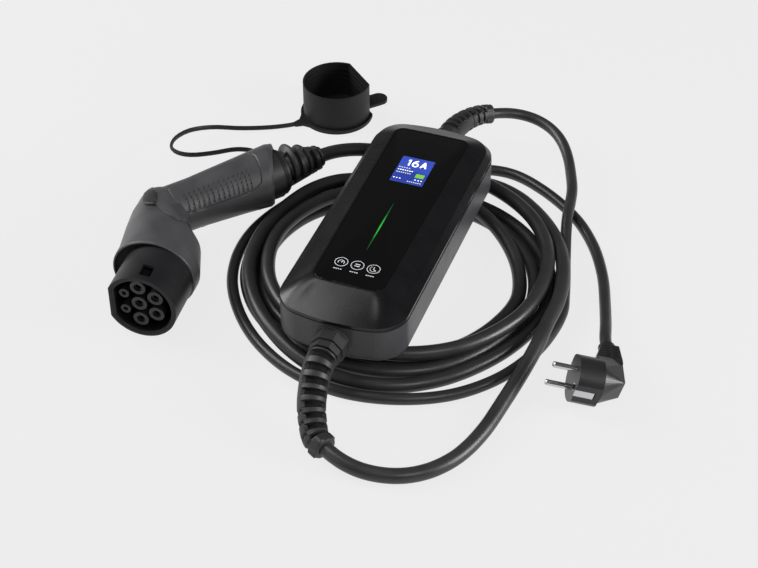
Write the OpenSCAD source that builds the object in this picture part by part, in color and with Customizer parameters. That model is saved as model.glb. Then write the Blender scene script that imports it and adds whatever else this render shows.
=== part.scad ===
// Portable charger for an electric car: a control box with a display, lying on its coiled cables,
// with a vehicle connector at the end of one cable and a mains plug at the end of the other.
// Millimetres, Z up. The floor is z = 0, and the control box lies with its length along Y.

/* [Control box] */
// Width of the control box
box_w = 104.6; // [98:0.2:112]
// Length of the control box
box_l = 264.4; // [255:0.2:275]
// Height of the base shell
base_h = 31; // [30:0.5:34]
// Height of the cover above the base shell
cover_h = 16; // [15:0.5:18]
// Radius of the four corners in plan
corner_r = 26; // [20:1:30]
// How far the two ends bow outward
end_bow = 3; // [1:0.5:4]
// Rounding of the base shell's lower edge
floor_r = 5; // [4:1:8]
// Wall thickness of both shells
wall = 2.8; // [2.4:0.1:3.2]
// Thickness of the seal between the two shells
seal_t = 0.8; // [0.6:0.1:1.2]

/* [Front panel] */
// Width of the glossy panel at its near end
panel_near_w = 58; // [54:1:62]
// Width of the glossy panel at its far end
panel_far_w = 64; // [60:1:68]
// Place of the panel's near edge along the box
panel_near_y = -100; // [-104:1:-96]
// Place of the panel's far edge along the box
panel_far_y = 108; // [104:1:110]
// Thickness of the panel
panel_t = 1.6; // [1.2:0.1:1.8]
// Width of the display's lit area
screen_w = 28; // [26:0.5:30]
// Length of the display's lit area
screen_l = 35.5; // [33:0.5:37]
// Middle of the display along the box
screen_y = 53.5; // [50:0.5:57]
// Length of the light bar
bar_l = 64; // [58:1:66]
// Width of the light bar at its middle
bar_w = 2.6; // [2:0.1:3.2]
// Middle of the light bar along the box
bar_y = -24.5; // [-27:0.5:-22]

/* [Cables] */
// Diameter of the vehicle cable
cable_d = 12; // [11.8:0.1:12]
// Diameter of the mains cord
cord_d = 9.5; // [9:0.1:9.6]
// Inner radius of the coil
coil_in_r = 97; // [95:0.5:98]
// Outer radius of the coil
coil_out_r = 144; // [142:0.5:144]

/* [Vehicle connector] */
// Outer radius of the connector's nose
nose_r = 29.5; // [29:0.1:29.8]
// Distance from the nose's axis to its flat side
nose_flat = 26; // [25:0.2:26.6]
// Wall of the nose
nose_wall = 2.6; // [2.2:0.1:2.8]
// Length of the nose in front of the housing
nose_l = 40; // [38:0.5:41]
// Radius of the housing's collar
collar_r = 33; // [32.4:0.1:33]
// Radius of the housing at the elbow
elbow_r = 25; // [24.5:0.1:25.4]
// Angle between the nose and the handle
elbow_deg = 42.7; // [42:0.1:43.4]
// Length of the handle from the elbow
handle_l = 105; // [103:0.5:107]
// Distance between neighbouring power contacts
contact_pitch = 16; // [15.8:0.1:16.2]
// Bore radius of a power contact
power_bore_r = 3.05; // [3:0.01:3.1]
// Bore radius of a signal contact
signal_bore_r = 1.55; // [1.5:0.01:1.6]

/* [Dust cap] */
// Outer radius of the dust cap
cap_r = 31; // [30.6:0.1:31.4]
// Distance from the cap's middle to its flat side
cap_flat = 24; // [23.6:0.1:24.4]
// Height of the dust cap
cap_h = 37; // [34:0.5:40]
// Wall of the dust cap
cap_wall = 2.2; // [2:0.1:2.6]

/* [Mains plug] */
// Radius of a plug pin
pin_r = 2.4; // [2.3:0.05:2.5]
// Length of a plug pin in front of the face
pin_l = 19; // [18:0.5:19.5]
// Distance between the two pins
pin_pitch = 19; // [18.6:0.1:19.4]
// Radius of the plug's round body
plug_r = 18.5; // [18:0.1:18.8]

/* [Hidden] */
$fn = 48;

// Where the middle of the control box stands on the floor
home = [94, -11.2, 0];

// Heights of the control box, which lies on two layers of cable
lift = 2 * cable_d + 0.4;
part_z = lift + base_h;
top_z = part_z + cover_h;
gland_z = lift + base_h / 2;
end_y = box_l / 2;

// Inside the control box
inner_floor_z = lift + wall;
board_t = 1.6;
board_z = inner_floor_z + 6;
board_top_z = board_z + board_t;
board_w = 72;
board_clear = 37.2;
board_l = box_l - 2 * board_clear;
board_post = [board_w / 2 - 6, board_l / 2 - 9];
shelf_t = 1.6;
shelf_z = top_z - panel_t - shelf_t;
display_top_z = shelf_z - 4.4;
display_w = 52;
display_post = [21.5, 88];
post_r = 3.2;
screw_r = 1.2;
screw_gap = 0.1;
pillar = [43.2, end_y - 34.2];
pillar_r = 4.6;
case_head_r = 3;
case_shank_r = 1.5;
case_head_z = part_z - 6;
case_head_h = 3;
case_bite = 5;
head_gap = 0.4;
screw_head_r = 2.4;
screw_head_h = 1.8;
screw_bite = 4;
relay = [26, 32, 19];
relay_x = 15;
relay_y = -52;
supply_unit = [48, 27, 20];
supply_y = board_l / 2 - 73;
sensor = [30, 11, 24];
sensor_y = board_l / 2 - 35;
sensor_hole_r = 7;
sensor_hole_z = 13;
block = [38, 13, 14];
block_y = board_l / 2 - 15;
clamp_r = 2.6;
clamp_pitch = 11;
clamp_depth = 5;
core_r = 1.9;
core_pitch = 4.5;

// Edges of the cover and the seal
panel_corner_r = 8;
panel_gap = 0.1;
cover_rim = 1.2;
cover_set_in = 0.3;
cover_skirt = 3;
seal_out = 0.9;
seal_in = 2.4;

// Gland sizes
pad_r = 14.2;
pad_out = 0.8;
pad_in = 3.6;
neck_r = 8;
neck_gap = 0.1;
gland_r = 14.4;
gland_l = 18;
gland_step_l = 11.2;
gland_step = 1.6;
nut_r = 10.6;
nut_l = 6;
neck_l = pad_out + wall + pad_in + nut_l + 2;
core_l = end_y + pad_out - neck_l - block_y - block[1];
rib_t = 4.6;
boot_collar_l = 9;
lug_w = 10;
lug_l = 7;
gland_front_y = end_y + pad_out + gland_l;

// Vehicle connector, in its own frame: the nose's face is at y = 0 and the body runs back along +y
connector_at = [-158.5, -139.4, collar_r];
connector_yaw = 5;
collar_x = -4;
collar_l = 12;
housing_spread = 3.5;
bulge = [-10.5, 78];
elbow = [-24, 116.4];
split_deg = 36.9;
split_at = 75;
contact_x = -2.5;
signal_x = -12.1;
carrier_y = 34;
carrier_t = 8;
sleeve_front_y = 4;
sleeve_lip = 3;
socket_y = sleeve_front_y + sleeve_lip;
sleeve_r = 6.4;
signal_sleeve_r = 4.2;
socket_wall = 0.9;
socket_depth = 24;
contact_end_y = 50;
seat_gap = 0.05;
notch_at = [-1.5, 5];
notch = [9.5, 12.5];
power_places = [
    [contact_x, 0], [contact_x, contact_pitch], [contact_x, -contact_pitch],
    [contact_x + contact_pitch * sin(60), contact_pitch / 2],
    [contact_x + contact_pitch * sin(60), -contact_pitch / 2]
];
signal_places = [[contact_x + signal_x, contact_pitch / 2], [contact_x + signal_x, -contact_pitch / 2]];
nose_end_y = nose_l + 12;
housing_wall = 6.4;
housing_edge = 3;
lead_way_r = 24;
lead_way_l = 26;
grip_wall = 3.2;
grip_raise = 0.9;
grip_screw_places = [for (x = [-17, 17], z = [30, 84]) [x, 0, z]];
grip_boss_r = 4.4;
grip_head_r = 2.4;
grip_head_at = 10;
grip_head_h = 2;
grip_bite = 8;
handle_start_r = elbow_r - 1;
handle_end_r = 27;
handle_edge = 5;
handle_end_t = 4;
collar_len = 8;
neck_ring_r = 17;
collar_bore_r = neck_ring_r - 4;
collar_front_r = 20;
collar_back_r = 19;
groove_z = [2, 6];
boot_l = 40;
boot_r = [14, 8.5];
boot_rib_r = 16.6;
boot_rib_step = 8.6;
boot_rib_taper = 1.7;
boot_rib_t = [6.4, 4.8];
handle_dir = [sin(elbow_deg - connector_yaw), cos(elbow_deg - connector_yaw), 0];
connector_exit_dir = handle_dir;
elbow_at = connector_at + turned([elbow[0], elbow[1], 0], connector_yaw);
connector_exit = elbow_at + (handle_l + collar_len + boot_l) * handle_dir;

// Mains plug, in its own frame: the face is at x = 0, the pins point along +x, the cord leaves towards -y
plug_at = [179.6, -91.6, 24];
plug_yaw = 199.4;
plug_pitch = 15;
plug_depth = 20;
plug_half_w = 16.5;
pin_seat = 8;
pin_root_r = 1.9;
pin_neck = 0.6;
pin_tip = 1;
earth_y = 10;
earth_r = 2.45;
earth_depth = 15;
earth_wall = 0.7;
strip = [15, 1, 6];
fit_gap = 0.05;
shoulder_r = 16;
back_x = -39;
neck_y = -21;
neck_half_h = 9;
neck_end_y = -38;
neck_end_half_h = 8;
plug_seat = [-31, -43, 0];
plug_seat_r = cord_d / 2 + 2;
plug_exit = plug_at
    + turned([plug_seat[0] * cos(plug_pitch), plug_seat[1], plug_seat[0] * sin(plug_pitch)], plug_yaw);
plug_exit_dir = turned([0, -1, 0], plug_yaw);

// Cable routes, as points on the cables' centre lines measured from the middle of the control box
layer_z = 1.5 * cable_d;
low_z = cable_d / 2 + 0.1;
cord_z = cord_d / 2 + 0.1;
vehicle_exit = [26, -gland_front_y - 62.9, 11.2];
vehicle_exit_dir = unit([0.86, -0.5, -0.12]);
supply_exit = [22.5, gland_front_y + 54, 35];
supply_exit_dir = unit([0.76, 0.64, -0.14]);
vehicle_boot_path = [
    [0, -gland_front_y, gland_z], [0, -gland_front_y - 8, gland_z - 1],
    [0.6, -gland_front_y - 17, gland_z - 4.5], [2, -gland_front_y - 26, gland_z - 9.9],
    [4.5, -gland_front_y - 35.6, gland_z - 15.5], [9, -gland_front_y - 45.4, gland_z - 21.5],
    vehicle_exit - 10 * vehicle_exit_dir, vehicle_exit
];
vehicle_path = [
    vehicle_exit, vehicle_exit + 10 * vehicle_exit_dir, vehicle_exit + [22, -8.3, -3.2],
    vehicle_exit + [40, -8.1, -4.7], vehicle_exit + [59, -2.3, low_z - vehicle_exit[2]],
    [103, -204, low_z], [117, -185, low_z], [128, -156, 7.5], [134.5, -120, 10.5], [140, -84, 15],
    [142.6, -57, 17.6], [142.9, -33.9, layer_z]
];
connector_path = [
    [14, 131.6, layer_z], [0, 131.8, layer_z], [-20, 134, 19.6], [-42, 133, 23], [-62, 127, 27],
    [-78, 116, 30.5], connector_exit + 10 * connector_exit_dir, connector_exit
];
supply_boot_path = [
    [0, gland_front_y, gland_z], [0, gland_front_y + 8, gland_z - 0.2],
    [1.5, gland_front_y + 19, gland_z - 0.7], [4.5, gland_front_y + 29, gland_z - 1.3],
    [9, gland_front_y + 38.5, gland_z - 2.1], supply_exit - 9 * supply_exit_dir, supply_exit
];
supply_path = [
    supply_exit, supply_exit + 12 * supply_exit_dir, supply_exit + [32.5, 14.5, -6],
    supply_exit + [53.5, 4, -9.5], [97, 183, 22], [109, 161, 19.8], [115.6, 142.6, 18], [118.6, 126, 16.2],
    [120.5, 111, 13.4], [124, 95, 9], [128.2, 79, 5.6], [132.6, 62, cord_z], [138, 42, cord_z]
];
coil_exit_deg = 20;
coil_exit_dir = [cos(coil_exit_deg), sin(coil_exit_deg), 0];
plug_path = [
    [-41, 125, cord_z], [-18, 134, cord_z], [4, 146, cord_z], [22, 157, cord_z], [40, 164, cord_z],
    [60, 163, cord_z], [84, 153, cord_z], [107, 138, cord_z], [130, 117, cord_z], [149, 91, cord_z],
    [166, 56, cord_z + 0.3], [178, 18, 7.2], [185, -8, 11.5], plug_exit + 12 * plug_exit_dir, plug_exit
];
coil_in_at = [9, 2, 0];
coil_out_at = [7, -8, 0];
coil_h = 2 * cable_d;
vehicle_step = [-10.5, -60, -9];
connector_step = [-60, -7.6, -7];
supply_step = [-14.5, 0, -cord_z - 1];
plug_step = [0, -6.4, -cord_z - 1];
step_size = [60, 60, 20];
cord_step_h = cord_d + 2.1;
handle_clear = 0.8;

// Dust cap, standing open end up
cap_at = [-126, 204, 0];
cap_turn = 48;
tether_z = 1;
tether_t = 3;
tether_gap = 0.1;
tether_rim = 2.6;
tab = [24, 16];
tab_x = 20;
strap_root = [[29, -1], [29, 14], [37, 4], [44, 2], [44, -1]];
strap_half = [1.4, 2.3];
ring_wall = 3.4;
ring_t = 3.6;
ring_gap = 0.15;
ring_seat = 0.2;
ring_lug = [6, 5.4];
cap_foot = 2.2;
cap_floor_t = 3;
mouth_depth = 5;
mouth_step = 0.8;
groove_step = 0.7;
groove_t = 2.4;
groove_top = 15;
groove_pitch = 4.5;
// The strap ends inside the lug of the ring round the collar
strap_bite = 0.6;
strap_end = elbow_at + (handle_l + groove_z[0] + ring_seat + ring_t / 2) * handle_dir
    + (neck_ring_r + ring_wall + strap_bite) * turned(handle_dir, 90);
strap_path = [
    [-151, 176.5, 2.5], [-160, 168.5, 2.5], [-177, 158, 2.8], [-199, 147, 4], [-221, 135.5, 7.5],
    [-235, 118, 12.5], [-239, 96, 18], [-234, 76, 23], [-223, 66, 26], [-208, 64, 28.5],
    strap_end + [-47.5, -3.5, -2], strap_end + [-31.5, 5.5, -0.4], strap_end + [-17.5, 8.5, 0.2],
    strap_end + [-7.5, 5.5, 0], strap_end
];

function unit(v) = v / norm(v);

// A point given in the frame turned by deg about Z, in the frame it was turned from
function turned(p, deg) = [p[0] * cos(deg) - p[1] * sin(deg), p[0] * sin(deg) + p[1] * cos(deg), p[2]];

// Point at place t, from 0 to 1, on the smooth curve through the points p
function on_curve(p, t) =
    let (n = len(p) - 1, s = min(t * n, n - 0.000001), i = floor(s), f = s - i,
         a = i > 0 ? p[i - 1] : 2 * p[0] - p[1], b = p[i], c = p[i + 1],
         d = i + 2 <= n ? p[i + 2] : 2 * p[n] - p[n - 1])
    b + 0.5 * f * ((c - a) + f * ((2 * a - 5 * b + 4 * c - d) + f * (3 * (b - c) + d - a)));

function curve(p, steps) = [for (k = [0:steps]) on_curve(p, k / steps)];

// Direction of travel at point i of the list c
function heading(c, i) = unit(c[min(i + 1, len(c) - 1)] - c[max(i - 1, 0)]);

function aside(h) = unit(cross(h, [0, 0, 1]));

// Outline of a sweep's section square to the direction h: half widths a across and b upward, with n corners
function section_at(at, h, a, b, n) =
    let (s = aside(h), u = cross(s, h))
    [for (k = [0:n - 1]) at + a * cos((k + 0.5) * 360 / n) * s + b * sin((k + 0.5) * 360 / n) * u];

// Solid swept along the points c, with half widths that change evenly from start to end.
// Its end faces are square to the directions first and last.
module sweep(c, a0, b0, a1, b1, first, last, n = 10) {
    m = len(c);
    rings = [for (i = [0:m - 1])
        let (f = i / (m - 1), h = i == 0 ? first : i == m - 1 ? last : heading(c, i))
        each section_at(c[i], h, a0 + f * (a1 - a0), b0 + f * (b1 - b0), n)];
    sides = [for (i = [0:m - 2], k = [0:n - 1])
        let (p = i * n + k, q = i * n + (k + 1) % n) each [[p, q, q + n], [p, q + n, p + n]]];
    ends = [[for (k = [n - 1:-1:0]) k], [for (k = [0:n - 1]) (m - 1) * n + k]];
    polyhedron(points = rings, faces = concat(sides, ends), convexity = 6);
}

module tube(path, steps, d, first, last)
    sweep(curve(path, steps), d / 2, d / 2, d / 2, d / 2, first, last);

// Child turned so that its Z axis lies along h
module along(at, h) translate(at) rotate([0, acos(h[2]), atan2(h[1], h[0])]) children();

module at_home() translate(home) children();
module at_connector() at_home() from_box() children();
module from_box() translate(connector_at) rotate([0, 0, connector_yaw]) children();
module at_handle() translate([elbow[0], elbow[1], 0]) rotate([-90, 0, -elbow_deg]) children();
module at_cap() at_home() translate(cap_at) rotate([0, 0, cap_turn]) children();
module at_plug() at_home() translate(plug_at) rotate([0, 0, plug_yaw]) rotate([0, -plug_pitch, 0]) children();
module four_places(p) for (sx = [-1, 1], sy = [-1, 1]) translate([sx * p[0], sy * p[1], 0]) children();
module both_ends() for (s = [0, 1]) rotate([0, 0, 180 * s]) children();

// Posts whose hull is the control box's plan, drawn in by inset
module plan_posts(inset, z, h)
    for (s = [-1, 1], t = [-1:0.5:1])
        translate([t * (box_w / 2 - corner_r), s * (end_y - corner_r - end_bow * t * t), z])
            cylinder(r = corner_r - inset, h = h);

// The base shell's outer form drawn in by inset, with its rounded lower edge
module base_form(inset, h)
    hull() {
        bend = floor_r - inset;
        for (a = [18:18:90])
            plan_posts(inset + bend * (1 - cos(a)), lift + inset + bend * (1 - sin(a)), 0.01);
        plan_posts(inset, lift + floor_r, h - floor_r);
    }

module panel_outline(grow)
    hull()
        for (s = [-1, 1]) {
            translate([s * (panel_near_w / 2 - panel_corner_r), panel_near_y + panel_corner_r])
                circle(r = panel_corner_r + grow);
            translate([s * (panel_far_w / 2 - panel_corner_r), panel_far_y - panel_corner_r])
                circle(r = panel_corner_r + grow);
        }

// The cover's outer form drawn in by inset: a loft from the box's plan up to the panel's outline
module cover_form(inset, z, h)
    hull() {
        plan_posts(cover_set_in + inset, z, cover_skirt);
        translate([0, 0, z + h - 0.02]) linear_extrude(0.02) panel_outline(cover_rim - inset);
    }

module bar_outline(grow)
    translate([0, bar_y])
        scale([bar_w / 2 + grow, bar_l / 2 + grow]) polygon([[0, -1], [1, 0], [0, 1], [-1, 0]]);

module screen_block(grow, z, h)
    translate([0, screen_y, z + h / 2]) cube([screen_w + 2 * grow, screen_l + 2 * grow, h], center = true);

module base_shell()
    color("#2c2d2f") at_home() difference() {
        union() {
            difference() {
                base_form(0, base_h);
                base_form(wall, base_h + 1);
            }
            both_ends() translate([0, end_y + pad_out, gland_z])
                rotate([90, 0, 0]) cylinder(r = pad_r, h = pad_out + wall + pad_in);
            four_places(pillar) translate([0, 0, lift + 1]) cylinder(r = pillar_r, h = base_h - 1);
            four_places(board_post) translate([0, 0, inner_floor_z - 1])
                cylinder(r = post_r, h = board_z - inner_floor_z + 1);
        }
        both_ends() translate([0, end_y + 5, gland_z])
            rotate([90, 0, 0]) cylinder(r = neck_r + neck_gap, h = 20);
        four_places(pillar) translate([0, 0, lift - 1])
            cylinder(r = case_head_r + head_gap, h = case_head_z - lift + 1);
        four_places(pillar) translate([0, 0, lift]) cylinder(r = case_shank_r + head_gap, h = base_h + 1);
        four_places(board_post) translate([0, 0, board_z - screw_bite - 1])
            cylinder(r = screw_r + screw_gap, h = screw_bite + 2);
    }

module top_cover()
    color("#161719") at_home() difference() {
        union() {
            difference() {
                cover_form(0, part_z + seal_t, cover_h - seal_t);
                cover_form(wall, part_z + seal_t - 1, shelf_z - part_z - seal_t + 1);
            }
            intersection() {
                four_places(pillar) translate([0, 0, part_z]) cylinder(r = pillar_r, h = cover_h);
                union() {
                    cover_form(0.4, part_z + seal_t, cover_h - seal_t - 0.4);
                    four_places(pillar) translate([0, 0, part_z]) cylinder(r = pillar_r, h = seal_t + 1);
                }
            }
            four_places(display_post) translate([0, 0, display_top_z])
                cylinder(r = post_r, h = shelf_z - display_top_z + 0.5);
        }
        translate([0, 0, top_z - panel_t]) linear_extrude(panel_t + 1) panel_outline(panel_gap);
        screen_block(0.7, shelf_z - 1, shelf_t + 2);
        translate([0, 0, shelf_z - 1]) linear_extrude(shelf_t + 2) bar_outline(0.4);
        four_places(pillar) translate([0, 0, part_z - 1])
            cylinder(r = case_shank_r + screw_gap, h = case_bite + 1.6);
        four_places(display_post) translate([0, 0, display_top_z - 1])
            cylinder(r = screw_r + screw_gap, h = screw_bite + 1);
    }

module cover_seal()
    color("#0b0b0c") at_home() difference() {
        hull() plan_posts(seal_out, part_z, seal_t);
        hull() plan_posts(seal_in, part_z - 1, seal_t + 2);
    }

module front_panel()
    color("#050506") at_home() translate([0, 0, top_z - panel_t]) linear_extrude(panel_t) panel_outline(0);

module display_module()
    color("#3a50b8") at_home() union() {
        screen_block(0.5, shelf_z - 0.5, shelf_t + 0.5);
        screen_block(4, display_top_z, shelf_z - display_top_z - 0.4);
    }

module light_guide()
    color("#38e04a") at_home() translate([0, 0, display_top_z])
        linear_extrude(shelf_z + shelf_t - display_top_z) bar_outline(0.2);

module display_board()
    color("#1f5a37") at_home() difference() {
        translate([-display_w / 2, panel_near_y + 4, display_top_z - board_t])
            cube([display_w, panel_far_y - panel_near_y - 10, board_t]);
        four_places(display_post) translate([0, 0, display_top_z - 2 * board_t])
            cylinder(r = screw_r + screw_gap, h = 3 * board_t);
    }

module main_board()
    color("#1f5a37") at_home() difference() {
        translate([-board_w / 2, -board_l / 2, board_z]) cube([board_w, board_l, board_t]);
        four_places(board_post) translate([0, 0, board_z - 1]) cylinder(r = screw_r + screw_gap, h = 4);
    }

module power_relays()
    color("#20242a") at_home()
        for (s = [-1, 1]) translate([s * relay_x - relay[0] / 2, relay_y, board_top_z]) cube(relay);

module supply_module()
    color("#26282b") at_home() translate([-supply_unit[0] / 2, supply_y, board_top_z]) cube(supply_unit);

module current_sensor()
    color("#3b3226") at_home() translate([-sensor[0] / 2, sensor_y, board_top_z]) difference() {
        cube(sensor);
        translate([sensor[0] / 2, -1, sensor_hole_z])
            rotate([-90, 0, 0]) cylinder(r = sensor_hole_r, h = sensor[1] + 2);
    }

// The cable cores end in a block of screw clamps at each end of the main board
module terminal_blocks()
    color("#4d6b3c") at_home() both_ends() translate([-block[0] / 2, block_y, board_top_z]) difference() {
        cube(block);
        for (k = [-1:1])
            translate([block[0] / 2 + k * clamp_pitch, block[1] / 2, block[2] - clamp_depth])
                cylinder(r = clamp_r, h = clamp_depth + 1);
    }

module inner_leads()
    color("#7d4a2a") at_home() both_ends() for (k = [-1:1])
        translate([k * core_pitch, block_y + block[1], gland_z])
            rotate([-90, 0, 0]) cylinder(r = core_r, h = core_l);

module board_screws()
    color("#b9bcc0") at_home() {
        four_places(board_post) {
            translate([0, 0, board_top_z]) cylinder(r = screw_head_r, h = screw_head_h);
            translate([0, 0, board_z - screw_bite]) cylinder(r = screw_r, h = screw_bite + board_t + 1);
        }
        four_places(display_post) translate([0, 0, display_top_z - board_t]) {
            translate([0, 0, -screw_head_h]) cylinder(r = screw_head_r, h = screw_head_h);
            translate([0, 0, -1]) cylinder(r = screw_r, h = board_t + screw_bite);
        }
    }

module case_screws()
    color("#b9bcc0") at_home() four_places(pillar) {
        translate([0, 0, case_head_z - case_head_h]) cylinder(r = case_head_r, h = case_head_h);
        translate([0, 0, case_head_z - 1])
            cylinder(r = case_shank_r, h = part_z + case_bite - case_head_z + 1);
    }

// Eight-sided gland with a neck through the end wall, pointing along +y
module gland()
    translate([0, end_y + pad_out, gland_z]) rotate([-90, 0, 0]) {
        rotate([0, 0, 22.5]) cylinder(r = gland_r, h = gland_step_l, $fn = 8);
        rotate([0, 0, 22.5]) cylinder(r = gland_r - gland_step, h = gland_l, $fn = 8);
        translate([0, 0, -neck_l]) cylinder(r = neck_r, h = neck_l + 1);
    }

module vehicle_gland() color("#2a2b2d") at_home() rotate([0, 0, 180]) gland();

module supply_gland() color("#2a2b2d") at_home() gland();

module gland_nuts()
    color("#2a2b2d") at_home() both_ends()
        translate([0, end_y - wall - pad_in, gland_z]) rotate([90, 0, 0]) difference() {
            cylinder(r = nut_r, h = nut_l, $fn = 6);
            translate([0, 0, -1]) cylinder(r = neck_r + neck_gap, h = nut_l + 2);
        }

// Bend protector: a tapering core with ribs along it and a collar with a lug at its end
module ribbed_boot(path, first, last, core0, core1, rib0, rib1, ribs, lug) {
    c = curve(path, 14);
    sweep(c, core0, core0, core1, core1, first, last, 16);
    for (k = [0:ribs - 1]) {
        t = (k + 0.7) / (ribs + 0.9);
        at = on_curve(path, t);
        h = unit(on_curve(path, t + 0.02) - on_curve(path, t - 0.02));
        along(at, h) cylinder(r = rib0 + t * (rib1 - rib0), h = rib_t, center = true, $fn = 36);
    }
    along(c[len(c) - 1], -last) {
        cylinder(r = rib1, h = boot_collar_l, $fn = 36);
        translate([-rib1 - lug, -lug_w / 2, 0]) cube([2 * rib1 + 2 * lug, lug_w, lug_l]);
    }
}

module vehicle_boot()
    color("#242527") at_home()
        ribbed_boot(vehicle_boot_path, [0, -1, 0], vehicle_exit_dir, 8.6, 7, 11, 9.6, 6, 1);

module supply_boot()
    color("#242527") at_home()
        ribbed_boot(supply_boot_path, [0, 1, 0], supply_exit_dir, 8.4, 6.4, 11, 8.6, 6, 0);

// Round section with one flat side towards -x, run along +y
module d_prism(r, flat, y, l)
    translate([0, y, 0]) rotate([-90, 0, 0]) linear_extrude(l) intersection() {
        circle(r = r, $fn = 96);
        translate([-flat, -r]) square([flat + r, 2 * r]);
    }

module rods(places, r, y, l)
    for (p = places) translate([p[0], y, p[1]]) rotate([-90, 0, 0]) cylinder(r = r, h = l);

module connector_nose()
    color("#333436") at_connector() difference() {
        d_prism(nose_r, nose_flat, 0, nose_end_y);
        d_prism(nose_r - nose_wall, nose_flat - nose_wall, -1, nose_end_y + 2);
        translate([notch_at[0], notch_at[1], 0]) cube([notch[0], notch[1], nose_r + 1]);
    }

module contact_carrier()
    color("#1a1b1c") at_connector() difference() {
        d_prism(nose_r - nose_wall - seat_gap, nose_flat - nose_wall - seat_gap, carrier_y, carrier_t);
        rods(power_places, power_bore_r + socket_wall + seat_gap, carrier_y - 1, carrier_t + 2);
        rods(signal_places, signal_bore_r + socket_wall + seat_gap, carrier_y - 1, carrier_t + 2);
    }

// Insulating sleeves around the contacts, each standing on the carrier
module sleeves(places, r, bore)
    difference() {
        rods(places, r, sleeve_front_y, carrier_y - sleeve_front_y);
        rods(places, bore + head_gap, sleeve_front_y - 1, sleeve_lip + 2);
        rods(places, bore + socket_wall + seat_gap, socket_y, carrier_y);
    }

module contact_sleeves()
    color("#3a3b3d") at_connector() {
        sleeves(power_places, sleeve_r, power_bore_r);
        sleeves(signal_places, signal_sleeve_r, signal_bore_r);
    }

module sockets(places, bore)
    difference() {
        rods(places, bore + socket_wall, socket_y, contact_end_y - socket_y);
        rods(places, bore, socket_y - 1, socket_depth + 1);
    }

module power_contacts() color("#b8bcc2") at_connector() sockets(power_places, power_bore_r);

module signal_contacts() color("#b8bcc2") at_connector() sockets(signal_places, signal_bore_r);

// A round across the housing at the place given, wider than it is high by twice the housing's spread
module housing_round(x, y, r, h)
    for (s = [-1, 1]) translate([x + s * housing_spread, y, 0]) rotate([-90, 0, 0]) cylinder(r = r, h = h);

// The housing from its collar past its bulge to the elbow, drawn in by inset
module housing_form(inset)
    hull() {
        housing_round(collar_x, nose_l + inset, collar_r - inset - 1, 1);
        housing_round(collar_x, nose_l + housing_edge + inset, collar_r - inset,
                      collar_l - housing_edge - inset);
        housing_round(bulge[0], bulge[1], collar_r - inset, 1);
        translate([elbow[0], elbow[1], 0]) sphere(r = elbow_r - inset);
    }

module handle_form(inset)
    at_handle() rotate_extrude()
        polygon([[0, 0], [handle_start_r - inset, 0], [handle_end_r - inset, handle_l - handle_edge],
                 [handle_end_r - 2 - inset, handle_l], [0, handle_l]]);

// Everything in front of the plane where the grip begins
module ahead_of_grip()
    rotate([0, 0, -split_deg]) translate([-200, split_at - 400, -100]) cube([400, 400, 200]);

module front_housing()
    color("#3c3d3f") at_connector() difference() {
        intersection() {
            housing_form(0);
            ahead_of_grip();
        }
        translate([0, nose_l - 1, 0]) rotate([-90, 0, 0])
            cylinder(r = nose_r + neck_gap, h = nose_end_y - nose_l + 1);
        housing_form(housing_wall);
        translate([0, nose_l, 0]) rotate([-90, 0, 0]) cylinder(r = lead_way_r, h = lead_way_l);
    }

// Child set at each grip screw, with its Z axis pointing to the screw's head
module at_grip_screws()
    for (p = grip_screw_places) at_handle() translate(p) rotate([-90, 0, 0]) children();

// One half of the grip: side 1 lies uppermost, side -1 lies on the floor side
module grip_half(side)
    difference() {
        intersection() {
            union() {
                difference() {
                    union() {
                        housing_form(-grip_raise);
                        handle_form(0);
                    }
                    housing_form(housing_wall);
                    difference() {
                        handle_form(grip_wall);
                        at_handle() translate([0, 0, handle_l - handle_end_t])
                            cylinder(r = 2 * collar_r, h = 2 * handle_end_t);
                    }
                }
                intersection() {
                    handle_form(1);
                    at_grip_screws() cylinder(r = grip_boss_r, h = 2 * collar_r, center = true);
                }
            }
            translate([-200, 0, side > 0 ? 0 : -100]) cube([400, 400, 100]);
        }
        ahead_of_grip();
        at_handle() translate([0, 0, handle_l - collar_len]) cylinder(r = collar_bore_r, h = 2 * collar_len);
        at_grip_screws() {
            translate([0, 0, -grip_bite - 1])
                cylinder(r = screw_r + screw_gap, h = grip_bite + grip_head_at + 2);
            translate([0, 0, grip_head_at]) cylinder(r = grip_head_r + head_gap, h = collar_r);
        }
    }

module grip_upper() color("#2f3032") at_connector() grip_half(1);

module grip_lower() color("#2f3032") at_connector() grip_half(-1);

module grip_screws()
    color("#8f9296") at_connector() at_grip_screws() {
        translate([0, 0, grip_head_at]) cylinder(r = grip_head_r, h = grip_head_h);
        translate([0, 0, -grip_bite]) cylinder(r = screw_r, h = grip_bite + grip_head_at + 1);
    }

// Collar at the handle's end, with a groove for the tether's ring
module grip_collar()
    color("#1d1e1f") at_connector() at_handle() translate([0, 0, handle_l]) rotate_extrude()
        polygon([
            [0, -collar_len], [collar_bore_r - neck_gap, -collar_len], [collar_bore_r - neck_gap, 0],
            [collar_front_r, 0], [collar_front_r, groove_z[0]], [neck_ring_r, groove_z[0]],
            [neck_ring_r, groove_z[1]], [collar_back_r, groove_z[1]], [collar_back_r, collar_len],
            [0, collar_len]
        ]);

module connector_boot()
    color("#242527") at_connector() at_handle() translate([0, 0, handle_l + collar_len]) {
        cylinder(r1 = boot_r[0], r2 = boot_r[1], h = boot_l - 6);
        cylinder(r = boot_r[1], h = boot_l);
        for (k = [0:3])
            translate([0, 0, (k + 0.93) * boot_rib_step]) rotate_extrude()
                polygon([
                    [0, -boot_rib_t[0] / 2], [boot_rib_r - boot_rib_taper * k, -boot_rib_t[1] / 2],
                    [boot_rib_r - boot_rib_taper * k, boot_rib_t[1] / 2], [0, boot_rib_t[0] / 2]
                ]);
    }

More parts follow.
